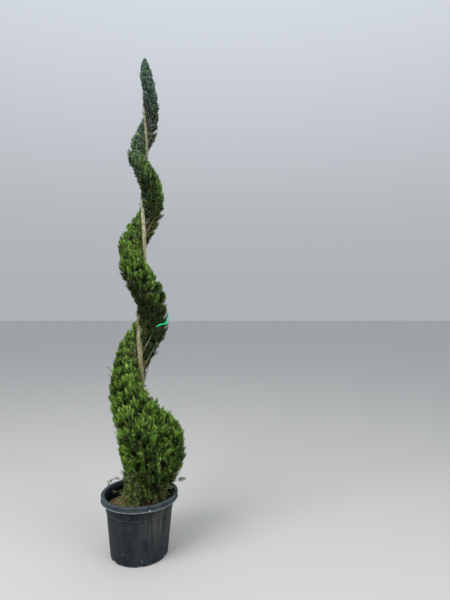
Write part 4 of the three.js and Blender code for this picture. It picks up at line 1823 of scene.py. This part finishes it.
    def stray_growth(self) -> tuple[Limbs, Sprays]:
        """The single twigs that stray from the clipped surface.

        Returns:
            The twigs, the dead ones last, and their sprays.
        """
        start = np.array([sprig.start for sprig in SPRIGS])
        end = np.array([sprig.end for sprig in SPRIGS])
        knee = (start + end) / 2 - UP * np.array([sprig.sag for sprig in SPRIGS])[:, None]
        paths = bezier(start, knee, end, 5)
        radii = np.array([sprig.radius for sprig in SPRIGS])[:, None] * np.linspace(1, 0.5, 5)
        turn = self.spiral.turn_at(start[:, 2])
        number = np.array([sprig.sprays for sprig in SPRIGS])
        return Limbs(paths, radii, turn), self._sparse(paths, turn, number, self.stray_spray_length, 0.1)

    def _sparse(self, paths: Array, turn: Array, number: Array, length: tuple[float, float],
                dead: float) -> Sprays:
        """A few small sprays along the outer part of thin twigs.

        Args:
            paths: The twigs' paths.
            turn: Their places along the spiral.
            number: How many sprays each bears.
            length: The shortest and the longest spray.
            dead: The share of withered ones.

        Returns:
            The sprays.
        """
        owner = np.repeat(np.arange(len(paths)), number)
        count = len(owner)
        step = self.rng.uniform(1.2, 3.99, count)
        low = np.floor(step).astype(int)
        base = mix(paths[owner, low], paths[owner, low + 1], (step - low)[:, None])
        along = unit(paths[owner, low + 1] - paths[owner, low])
        way = unit(along + UP * 0.25 + 0.6 * across(along, self.rng.normal(size=(count, 3))))
        facing = across(way, self.rng.normal(size=(count, 3)))
        tint = np.where(self.rng.random(count) < 0.5, LeafTint.OLIVE.place, self.rng.integers(1, 4, count))
        tint = np.where(self.rng.random(count) < dead, LeafTint.DEAD.place, tint)
        length, breadth = (self.rng.uniform(*span, count) for span in (length, self.spray_breadth))
        return Sprays(base, way, facing, length, breadth, tint, turn[owner])

    def build(self, leaves: Sequence[Finish], bark: Finish, twig_barks: Sequence[Finish]) -> None:
        """Grows the crown and puts its pieces into the scene, each kind apart and the leaves zone by zone.

        Args:
            leaves: The leaf materials, in the order of LeafTint.
            bark: The bark of the boughs.
            twig_barks: The bark of living and of dead twigs.
        """
        shown, hidden, tip_boughs = self.shown_boughs(), self.hidden_boughs(), self.tip_boughs()
        names = [f"bough_{index + 1:02d}" for index in range(len(self.shown_turns))]
        wood = [tubes(shown.paths, shown.radii, 14, grain=self.bough_grain),
                tubes(hidden.paths, hidden.radii, 7, grain=self.bough_grain),
                tubes(tip_boughs.paths, tip_boughs.radii, 6, grain=self.bough_grain)]
        new_piece("boughs", join(wood), [bark], names)
        every_other = np.linspace(0, shown.paths.shape[1] - 1, hidden.paths.shape[1]).round().astype(int)
        crossing = Limbs(shown.paths[:, every_other], shown.radii[:, every_other], shown.turn)
        tufts = [self.band_tufts(), self.top_tufts()]
        carriers = [together([crossing, hidden]), tip_boughs]
        branchlets = together([self.branchlets(group, carrier) for group, carrier in zip(tufts, carriers)])
        tufts = together(tufts)
        twigs, owner, ahead = self.twigs(branchlets, tufts)
        outer = self.sprays(twigs, picked(tufts, owner), ahead)
        sprays = together([outer, self.inner_sprays(branchlets, tufts)])
        tips = sprays.base + sprays.direction * sprays.length[:, None]
        sprays = picked(sprays, self.joined(sprays.base, sprays.turn) & self.within(tips, sprays.turn))
        wisps, wisp_sprays = self.foot_growth()
        strays, stray_sprays = self.stray_growth()
        thin = together([wisps, strays])
        dead = np.concatenate([self.rng.random(len(wisps.paths)) < 0.6, [sprig.dead for sprig in SPRIGS]])
        withered = self.rng.random(len(twigs.paths)) < 0.3
        joined = self.joined(twigs.paths[:, -1], twigs.turn)
        for index, upper in enumerate((True, False)):
            kept = (branchlets.turn < self.twig_split) == upper
            thin_kept = (thin.turn < self.twig_split) == upper
            twigs_kept = ((twigs.turn < self.twig_split) == upper) & joined
            wood = [tubes(branchlets.paths[kept], branchlets.radii[kept], 4),
                    tubes(twigs.paths[twigs_kept], twigs.radii[twigs_kept], 3, withered[twigs_kept]),
                    tubes(thin.paths[thin_kept], thin.radii[thin_kept], 4, dead[thin_kept])]
            new_piece(f"twigs_{index + 1:02d}", join(wood), twig_barks)
        self._leaf_pieces(together([sprays, wisp_sprays, stray_sprays]), leaves)

    def _leaf_pieces(self, sprays: Sprays, leaves: Sequence[Finish]) -> None:
        """Joins the sprays zone by zone along the spiral and puts them into the scene.

        Args:
            sprays: All the sprays.
            leaves: The leaf materials.
        """
        shape = SprayShape()
        for index, (first, last) in enumerate(zip(self.zones[:-1], self.zones[1:])):
            nodes = [f"foliage_band_{number + 1:02d}" for number in range(self.quarters)
                     if first <= number / 4 < last]
            nodes += ["foliage_tip"] if index == 0 else []
            zone = picked(sprays, (sprays.turn >= first) & (sprays.turn < last))
            skin = shape.skin(zone, SEED + 40 + index)
            new_piece(f"leaves_{index + 1:02d}", skin, leaves, nodes, rounded=False)


# Pot, compost and ribbon

@dataclass
class Pot:
    """A round nursery pot: turned wall with a moulded step, hanging rim, faint ribs and drainage notches."""

    height: float = 0.361
    base_radius: float = 0.169
    neck_radius: float = 0.198
    rim_radius: float = 0.225
    rim_height: float = 0.032
    lip: float = 0.0195
    wall: float = 0.004
    floor: float = 0.006
    step_drop: float = 0.062
    step_depth: float = 0.003
    bead: float = 0.0013
    notch_count: int = 6
    first_notch: float = -77.5
    notch_width: float = 0.034
    notch_height: float = 0.013
    notch_depth: float = 0.034
    ribs: int = 60
    rib_depth: float = 0.0004
    silt_angle: float = -43.0
    silt_spread: float = 33.0
    silt_shares: tuple = (0.12, 0.56)
    dust_shares: tuple = (0.17, 0.05, -0.06)
    rim_dust: float = 0.56
    ovality: tuple = (0.0012, 0.0006)
    dent_depth: float = 0.0007
    inner_points: int = 9
    sides: int = 400

    def wall_radius(self, height: float) -> float:
        """The outside radius of the tapering wall at a height."""
        widening = (self.neck_radius - self.base_radius) * height
        return self.base_radius + widening / (self.height - self.rim_height)

    def profile(self) -> tuple[Array, Array]:
        """The outline from the underside's middle, out and up over the rim, and down inside.

        Returns:
            Points [radius, height, wear, partly a painted highlight] of the plain outline, and of the one
            through a drainage notch.
        """
        top, wall, bead = self.height, self.wall, self.bead
        rim_foot = top - self.rim_height
        step = rim_foot - self.step_drop
        base, neck, rim = self.base_radius, self.neck_radius, self.rim_radius
        shelf, notch, lip = self.wall_radius(step), self.wall_radius(self.notch_height), rim - self.lip
        low, middle, high = (self.wall_radius(z) - wall for z in (self.floor, 0.03, 0.15))
        outside = [
            (0.02, 0.003, 0), (base - 0.040, 0.003, 0), (base - 0.036, 0.0, 0),
            (base - self.notch_depth, 0.0, 0), (base - 0.004, 0.0, 0.2), (base - 0.0012, 0.0012, 0.5),
            (base, 0.004, 0.3), (notch, self.notch_height, 0),
            *((self.wall_radius(z), z, 0) for z in np.linspace(0.03, step - 0.012, 14)),
            (shelf - 0.0012, step - 0.010, 0), (shelf - 0.0030, step - 0.0065, 0),
            (shelf - 0.0038, step - 0.0025, 0), (shelf - 0.0024, step - 0.0006, 0),
            # The step's ledge: its wear is partly a painted highlight along the edge.
            (shelf + 0.0018, step, 0.4), (shelf + 0.0026, step + 0.0016, 0.4),
            (shelf + 0.0027, step + 0.005, 0), (neck + 0.001, rim_foot - 0.02, 0),
            (neck + 0.0015, rim_foot, 0), (neck + 0.003, top - 0.010, 0), (rim - 0.009, top - 0.0095, 0),
            (rim - 0.0045, top - 0.013, 0), (rim - 0.0038, rim_foot + 0.001, 0.2),
            (rim - 0.0028, rim_foot - 0.0004, 0.8), (rim - 0.0008, rim_foot - 0.0004, 1.0),
            (rim + bead, rim_foot + 0.0008, 1.0), (rim + bead, rim_foot + 0.0022, 1.0),
            (rim + 0.0003, rim_foot + 0.0040, 0.5),
            *((rim - 0.0004, z, 0) for z in np.linspace(rim_foot + 0.009, top - 0.009, 5)),
            (rim + 0.0002, top - 0.0062, 0.0), (rim + bead / 2, top - 0.0045, 0.1),
            (rim + bead / 2, top - 0.0025, 0.2), (rim - 0.0006, top - 0.0006, 0.2), (rim - 0.0030, top, 0.1),
            (rim - 0.0060, top - 0.0004, 0.1), (lip + 0.006, top - 0.0006, 0.1),
            (lip + 0.0025, top - 0.0005, 0.2), (lip + 0.0004, top - 0.0016, 0.2),
            (lip - 0.0006, top - 0.005, 0.0),
        ]
        inside = [
            (neck - wall + 0.0004, rim_foot, 0), (neck - wall, rim_foot - 0.004, 0),
            (shelf - wall, step + 0.004, 0), (shelf - wall - self.step_depth, step - 0.001, 0),
            (high, 0.15, 0), (middle, 0.03, 0),
            (low, self.floor + 0.009, 0), (low - 0.004, self.floor, 0), (0.02, self.floor, 0),
        ]
        plain = np.array(outside + inside)
        notched = plain.copy()
        pocket = (plain[:, 1] < self.notch_height + 1e-6) & (plain[:, 0] > base - self.notch_depth + 1e-6)
        pocket[len(outside):] = False
        notched[pocket] = [base - self.notch_depth, self.notch_height, 0]
        notched[np.flatnonzero(pocket)[-1]] = [notch, self.notch_height, 0.2]
        return plain, notched

    def columns(self) -> tuple[Array, Array]:
        """The angles of the grid's columns, close together at the notches' edges.

        Returns:
            The angles, and which of them lie in a notch.
        """
        centre = np.radians(self.first_notch) + round_angles(self.notch_count)
        half = self.notch_width / 2 / self.base_radius
        edge = 0.0002 / self.base_radius
        edges = [centre + side * half + gap for side in (-1, 1) for gap in (-edge, edge)]
        angle = np.mod(np.concatenate([round_angles(self.sides), *edges]), 2 * np.pi)
        angle = np.unique(angle)
        apart = np.abs(angle_between(angle[:, None], centre)).min(axis=1)
        return angle, apart < half

    def build(self, plastic: Finish) -> None:
        """Turns the outline round, cuts the notches in and adds ribs and a slight sag.

        Args:
            plastic: The finish.
        """
        plain, notched = self.profile()
        angle, inside = self.columns()
        rows = np.where(inside[None, :, None], notched[:, None, :], plain[:, None, :])
        radius, height, wear = rows[..., 0], rows[..., 1], rows[..., 2]
        band = smooth(0.035, 0.07, height) * smooth(0.262, 0.235, height)
        band = band * (radius > self.base_radius - 0.001)
        ribs = self.rib_depth * band * np.clip(np.cos(self.ribs * angle) * 1.6 - 0.5, -0.2, 1)
        oval = self.ovality[0] * np.cos(2 * angle + 0.7) + self.ovality[1] * np.cos(3 * angle)
        upper = smooth(0.1, 0.36, height)
        dents = self.dent_depth * ripple(points_at(np.cos(angle), np.sin(angle), height * 6), SEED + 50, 0.5)
        radius = radius + ribs + (oval + dents) * upper
        points = outward(angle) * radius[..., None] + height[..., None] * UP
        dust, silt = self.dirt(plain, angle)
        # Painted shade: no dust in the notches' pockets, so that they show dark like the hollow under the
        # pot.
        dust = np.where(inside & (height < 0.012), 0, dust)
        new_piece("pot_shell", closed_skins(points[None]), [plastic], ["pot"],
                  attributes={"wear": wear, "dust": dust, "silt": silt})

    def dirt(self, plain: Array, angle: Array) -> tuple[Array, Array]:
        """Where dust and silt lie, and where the dust is left off as painted shade: dust outside and most on
        the rim, silt on one side's upper half.

        Args:
            plain: The plain outline.
            angle: The angles of the columns.

        Returns:
            Dust and silt, row by row and column by column.
        """
        height = plain[:, 1, None]
        # Dust lies only outside; the bare dark plastic of the inside also paints the shade in the pot.
        outer = (np.arange(len(plain)) < len(plain) - self.inner_points)[:, None]
        outer = outer * (plain[:, 0, None] > self.base_radius - 0.0045)
        rim_foot = self.height - self.rim_height
        rim = smooth(rim_foot - 0.002, rim_foot + 0.001, height)
        rim = rim * (plain[:, 0, None] > self.rim_radius - self.lip)
        step = rim_foot - self.step_drop
        # Less dust between the step and the rim is painted shade under the rim; the bell takes the dust off
        # the cove under the step as a painted shadow line.
        body, foot, neck = self.dust_shares
        body = body + foot * smooth(0.14, 0.02, height) + neck * smooth(step, step + 0.01, height)
        body = body * (1 - bell(height - step + 0.004, 0.0065))
        dust = outer * mix(body, self.rim_dust, rim)
        apart = np.degrees(angle_between(angle[None, :], np.radians(self.silt_angle)))
        everywhere, beside = self.silt_shares
        beside = beside * bell(apart, self.silt_spread)
        silt = outer * (1 - rim) * (everywhere + beside) * smooth(0.03, 0.17, height)
        return dust, silt


@dataclass
class Compost:
    """Damp compost with bark chips, moss, pale stones and litter on it."""

    level: float = 0.294
    dish: float = 0.005
    edge: float = 0.1855
    foot: float = 0.1600
    floor: float = 0.0065
    rings: int = 74
    sides: int = 220
    chips: int = 900
    chip_size: tuple = (0.0075, 0.0034, 0.0011)
    stones: int = 46
    cushions: int = 64
    litter: int = 260
    pale_bit: tuple = (-0.124, 0.130)
    pale_size: tuple = (0.0165, 0.0055, 0.0050)
    moss_spots: tuple = ((-0.092, 0.012), (-0.125, 0.045), (-0.105, -0.012), (-0.070, -0.030),
                         (0.110, -0.060))

    def surface(self, x: Array, y: Array) -> Array:
        """The height of the compost: it falls to the wall, with hollows, clods and a mound at the trunk.

        Args:
            x: Places to the right.
            y: Places to the back.

        Returns:
            The heights.
        """
        radius = np.hypot(x, y)
        place = points_at(x, y, 0.0)
        lumps = 0.0034 * ripple(place, SEED + 60, 0.055) + 0.0016 * ripple(place, SEED + 61, 0.016)
        clods = 0.0012 * np.abs(ripple(place, SEED + 62, 0.007))
        level = self.level - self.dish * (radius / self.edge) ** 2
        return level + (lumps + clods) * smooth(0.02, 0.05, radius) + 0.004 * bell(radius, 0.06)

    def on_top(self, x: Array, y: Array, lift: float = 0.0) -> Array:
        """Points on the compost, or a little above it."""
        return points_at(x, y, self.surface(x, y) + lift)

    def build(self, soil: Finish, bits: Sequence[Finish]) -> None:
        """Skins the compost and strews what lies on it.

        Args:
            soil: The compost's finish.
            bits: The finishes of dark chips, light chips, moss, stones and straw.
        """
        angle = round_angles(self.sides)
        radius = np.linspace(0.004, self.edge, self.rings)[:, None]
        top = self.on_top(radius * np.cos(angle), radius * np.sin(angle))[::-1]
        below = [outward(angle) * radius + UP * height
                 for radius, height in ((0.02, self.floor), (self.foot, self.floor), (self.edge, 0.27))]
        body = closed_skins(np.concatenate([np.stack(below), top])[None])
        new_piece("compost", body, [soil], ["soil"])
        rng = np.random.default_rng(SEED + 63)
        loose = [self._flakes(rng, self.chips), self._stones(rng), self._moss(rng), self._straws(rng)]
        new_piece("litter", join(loose), bits, rounded=False)

    def _strewn(self, rng: np.random.Generator, count: int) -> tuple[Array, Array]:
        """Places spread over the compost, clear of the trunk and the wall.

        Args:
            rng: The source of the draws.
            count: How many.

        Returns:
            Their x and y.
        """
        radius = np.sqrt(rng.uniform(0.035 ** 2, (self.edge - 0.006) ** 2, count))
        angle = rng.uniform(0, 2 * np.pi, count)
        return radius * np.cos(angle), radius * np.sin(angle)

    def _flakes(self, rng: np.random.Generator, count: int) -> Skin:
        """Bark chips: flat closed boxes with a bent middle, turned and tilted at random.

        Args:
            rng: The source of the draws.
            count: How many.

        Returns:
            The chips.
        """
        x, y = self._strewn(rng, count)
        size = rng.uniform(0.5, 1.0, (count, 1)) * self.chip_size * rng.uniform(0.6, 1.5, (count, 3))
        share = np.array([-1.0, 0.0, 1.0])[:, None]
        width = np.array([-1, 1, 1, -1]) * rng.uniform(0.5, 1.0, (count, 3, 1))
        bend = 1.2 * rng.normal(size=(count, 1, 1)) * (1 - share ** 2)
        local = points_at(share, width, np.array([-1, -1, 1, 1]) + bend) * size[:, None, None, :]
        along = unit(outward(rng.uniform(0, 2 * np.pi, count)) + UP * rng.normal(0, 0.28, count)[:, None])
        up = across(along, UP + rng.normal(0, 0.25, (count, 3)))
        aside = np.cross(up, along)
        turned = (local[..., 0:1] * along[:, None, None] + local[..., 1:2] * aside[:, None, None]
                  + local[..., 2:3] * up[:, None, None])
        points = turned + self.on_top(x, y, 0.0012)[:, None, None]
        return closed_skins(points, rng.integers(0, 2, count))

    def _domes(self, centres: Array, sizes: Array, tint: int, seed: int) -> Skin:
        """Lumpy balls: spheres of seven rings whose radius a relief swells and pinches.

        Args:
            centres: Their middles.
            sizes: Their radii along x, y and z.
            tint: The material's place.
            seed: Which relief.

        Returns:
            The balls.
        """
        lift = np.linspace(-0.46, 0.46, 7)[:, None] * np.pi
        angle = round_angles(10)
        ball = points_at(np.cos(lift) * np.cos(angle), np.cos(lift) * np.sin(angle), np.sin(lift))
        skins = []
        for centre, size in zip(centres, sizes):
            bumps = 1 + 0.18 * ripple(ball + centre * 300, seed, 0.9)
            skins.append(closed_skins((ball * bumps[..., None] * size + centre)[None], tint))
        return join(skins)

    def _stones(self, rng: np.random.Generator) -> Skin:
        """Pale stones, among them the long white one near the wall.

        Args:
            rng: The source of the draws.

        Returns:
            The stones.
        """
        x, y = self._strewn(rng, self.stones)
        x[0], y[0] = self.pale_bit
        size = rng.uniform(0.0012, 0.0038, (self.stones, 1))
        size = size * rng.uniform([0.8, 0.8, 0.5], [1.5, 1.2, 0.9], (self.stones, 3))
        size[0] = self.pale_size
        return self._domes(self.on_top(x, y, 0.001), size, 3, SEED + 64)

    def _moss(self, rng: np.random.Generator) -> Skin:
        """Moss cushions gathered round a few spots.

        Args:
            rng: The source of the draws.

        Returns:
            The cushions.
        """
        spot = np.array(self.moss_spots)[rng.integers(0, len(self.moss_spots), self.cushions)]
        place = spot + rng.normal(0, 0.013, (self.cushions, 2))
        size = rng.uniform(0.0035, 0.0095, (self.cushions, 1)) * [1, 1, 0.6]
        return self._domes(self.on_top(*place.T), size, 2, SEED + 65)

    def _straws(self, rng: np.random.Generator) -> Skin:
        """Fallen twiglets and needles.

        Args:
            rng: The source of the draws.

        Returns:
            The twiglets.
        """
        x, y = self._strewn(rng, self.litter)
        way = outward(rng.uniform(0, 2 * np.pi, self.litter))
        half = way * rng.uniform(0.004, 0.014, self.litter)[:, None]
        centre = self.on_top(x, y, 0.0016)
        bend = UP * rng.uniform(0, 0.003, self.litter)[:, None]
        paths = bezier(centre - half, centre + bend, centre + half, 4)
        return tubes(paths, np.full(paths.shape[:2], 0.0005), 3, 4)


@dataclass
class Ribbon:
    """A loose end of tying film that lies slanting on the clipped surface, with a thin twisted tail."""

    spiral: Spiral
    turns: tuple = (2.185, 2.30)
    height: float = 1.387
    slope: float = 37.0
    width: float = 0.0185
    stand_off: float = 0.006
    thickness: float = 0.0006
    steps: int = 60
    crumple: float = 0.0025
    tail_start: float = 0.52
    tail_lift: float = 0.009
    tail_width: float = 0.0085
    tail_reach: tuple = (0.003, -0.010, 0.058)

    def path(self) -> tuple[Array, Array]:
        """Where the slanting plane meets the clipped surface, and the surface's direction there.

        Returns:
            The line's points, and the surface's unit normals at them.
        """
        turn = np.linspace(*self.turns, self.steps)
        tilt = np.linspace(-1.1, 1.1, 400)
        points = self.spiral.point(turn[:, None], tilt[None, :])
        miss = np.abs(points[..., 2] - self.height - np.tan(np.radians(self.slope)) * points[..., 1])
        best = tilt[np.argmin(miss, axis=1)]
        normal = self.spiral.normal(turn, best)
        return self.spiral.point(turn, best), normal

    def strip(self, path: Array, normal: Array, width: Array, tint: int) -> Skin:
        """A thin closed strip: at each point of the path a flat, slightly cupped ring across it.

        Args:
            path: The strip's middle line.
            normal: Which way its flat side faces.
            width: Its whole width along the path.
            tint: The material's place.

        Returns:
            The skin.
        """
        tangent = unit(np.gradient(path, axis=0))
        normal = across(tangent, normal)
        aside = np.cross(normal, tangent)
        share = np.array([-0.5, -0.25, 0.0, 0.25, 0.5])
        cup = 0.10 * np.cos(share * 9)[None, :] * width[:, None]
        sheet = path[:, None] + aside[:, None] * (width[:, None] * share)[..., None]
        sheet = sheet + normal[:, None] * cup[..., None]
        half = normal[:, None] * self.thickness / 2
        ring = np.concatenate([sheet + half, (sheet - half)[:, ::-1]], axis=1)
        return closed_skins(ring[None], tint)

    def build(self, films: Sequence[Finish]) -> None:
        """Lays the film and its tail.

        Args:
            films: The finishes of the broad film and of the thin tail.
        """
        path, normal = self.path()
        share = np.linspace(0, 1, self.steps)
        crumple = self.crumple * ripple(path, SEED + 70, 0.02)
        path = path + normal * (self.stand_off + crumple)[:, None]
        path = path + UP * (0.004 * np.sin(share * 9))[:, None]
        turned = normal + UP * (0.35 * np.sin(share * 14 + 0.5))[:, None]
        width = self.width * (0.30 + 0.85 * smooth(0, 0.45, share)) * (1 + 0.15 * np.sin(share * 17))
        broad = self.strip(path, turned, width, 0)
        knot = int(self.steps * self.tail_start)
        rise = np.linspace(0, 1, 30)
        swing, forward, up = self.tail_reach
        sway = points_at(swing * np.sin(rise * 5), forward * rise + 0.002 * np.sin(rise * 11), up * rise)
        tail_path = path[knot] + normal[knot] * self.tail_lift + sway
        twist = outward(rise * 5.0 - 0.4)
        tail = self.strip(tail_path, twist, self.tail_width * (1 - 0.55 * rise), 1)
        new_piece("film_ribbon", join([broad, tail]), films, ["ribbon"])


# Camera, floor and light

@dataclass
class Studio:
    """The photograph's viewing angle, a pale floor and soft light from above."""

    effects: Effects
    camera_place: tuple = (0.512, -2.70, 1.508)
    focal_pixels: float = 450.0
    image_height: float = 600.0
    sensor: float = 36.0
    floor_size: float = 60.0
    floor_colour: tuple = (0.46, 0.45, 0.43)
    key: tuple = ((-2.2, -2.6, 4.6), (0.0, 0.0, 1.6), 3.0, 260.0)
    fill: tuple = ((3.2, -2.4, 3.0), (0.0, 0.0, 1.4), 3.0, 85.0)
    horizon: tuple = (0.50, 0.53, 0.56)
    overhead: tuple = (0.92, 0.98, 1.06)
    sky_strength: float = 0.85

    def build(self) -> None:
        """Sets up the camera, the floor, the lights and the surroundings."""
        scene = bpy.context.scene
        lens = bpy.data.cameras.new("camera")
        lens.sensor_width = self.sensor
        lens.lens = self.focal_pixels / self.image_height * self.sensor
        lens.clip_end = 200.0
        camera = bpy.data.objects.new("camera", lens)
        camera.location = self.camera_place
        camera.rotation_euler = (np.pi / 2, 0.0, 0.0)
        scene.collection.objects.link(camera)
        scene.camera = camera
        self._floor()
        self._light("key", *self.key)
        self._light("fill", *self.fill)
        self._surroundings(scene)

    def _floor(self) -> None:
        """A wide level floor under the pot."""
        half = self.floor_size / 2
        mesh = bpy.data.meshes.new("floor")
        corners = [(-half, -half, 0), (half, -half, 0), (half, half, 0), (-half, half, 0)]
        mesh.from_pydata(corners, [], [(0, 1, 2, 3)])
        mesh.materials.append(Material("floor", self.effects, 0.9, 0.5).finish(self.floor_colour))
        floor = bpy.data.objects.new("floor", mesh)
        bpy.context.scene.collection.objects.link(floor)

    @staticmethod
    def _light(name: str, place: tuple, target: tuple, size: float, power: float) -> None:
        """A square soft light that faces a point of the object.

        Args:
            name: The light's name.
            place: Where it hangs.
            target: What it faces.
            size: Its side.
            power: Its power.
        """
        data = bpy.data.lights.new(name, "AREA")
        data.size = size
        data.energy = power
        light = bpy.data.objects.new(name, data)
        light.location = place
        way = np.array(target) - np.array(place)
        level = np.hypot(way[0], way[1])
        light.rotation_euler = (np.arctan2(level, -way[2]), 0.0, np.arctan2(way[1], way[0]) - np.pi / 2)
        bpy.context.scene.collection.objects.link(light)

    def _surroundings(self, scene: bpy.types.Scene) -> None:
        """An even pale sky that is brighter overhead.

        Args:
            scene: The scene.
        """
        world = bpy.data.worlds.new("sky")
        world.use_nodes = True
        tree = Tree(world.node_tree)
        direction = tree.add("ShaderNodeTexCoord").outputs["Generated"]
        height = tree.add("ShaderNodeSeparateXYZ", {0: direction}).outputs[2]
        sky = tree.blend(tree.ramp(height, 0.0, 0.9), self.horizon, self.overhead)
        background = tree.add("ShaderNodeBackground", {"Color": sky, "Strength": self.sky_strength})
        tree.add("ShaderNodeOutputWorld", {"Surface": background.outputs[0]})
        scene.world = world
        scene.view_settings.view_transform = "Standard"


def main() -> None:
    """Builds the pieces in order."""
    logging.basicConfig(level=logging.INFO, format="%(name)s %(message)s")
    effects = Effects()
    Studio(effects).build()
    trunk = Trunk()
    spiral = Spiral(trunk)
    Pot().build(PotPlastic().material(effects))
    soil = Crumb("compost", (0.150, 0.098, 0.055), (0.042, 0.028, 0.018), 70.0)
    bits = [Crumb("chip_dark", (0.140, 0.072, 0.038), (0.060, 0.034, 0.021), 120.0),
            Crumb("chip_light", (0.300, 0.180, 0.095), (0.170, 0.092, 0.050), 120.0),
            Crumb("moss", (0.150, 0.190, 0.045), (0.060, 0.085, 0.020), 260.0),
            Crumb("stone", (0.760, 0.740, 0.680), (0.560, 0.530, 0.470), 150.0, 0.7),
            Crumb("straw", (0.300, 0.230, 0.130), (0.190, 0.130, 0.070), 200.0)]
    Compost().build(soil.material(effects), [bit.material(effects) for bit in bits])
    trunk.build(spiral, Bark("bark").material(effects))
    bough_bark = Bark("bough_bark", (0.185, 0.155, 0.095), (0.070, 0.052, 0.030), (0.215, 0.205, 0.145))
    twig_barks = [TwigBark("twig_living", (0.150, 0.090, 0.045)).material(effects),
                  TwigBark("twig_dead", (0.230, 0.185, 0.130)).material(effects)]
    leaves = [Leaf(f"leaf_{tint.name.lower()}", tint.value).material(effects) for tint in LeafTint]
    Crown(spiral, Tip(spiral)).build(leaves, bough_bark.material(effects), twig_barks)
    films = [Film("film_green", (0.006, 0.68, 0.270)).material(effects),
             Film("film_thin", (0.050, 0.74, 0.390)).material(effects)]
    Ribbon(spiral).build(films)


if __name__ == "__main__":
    main()
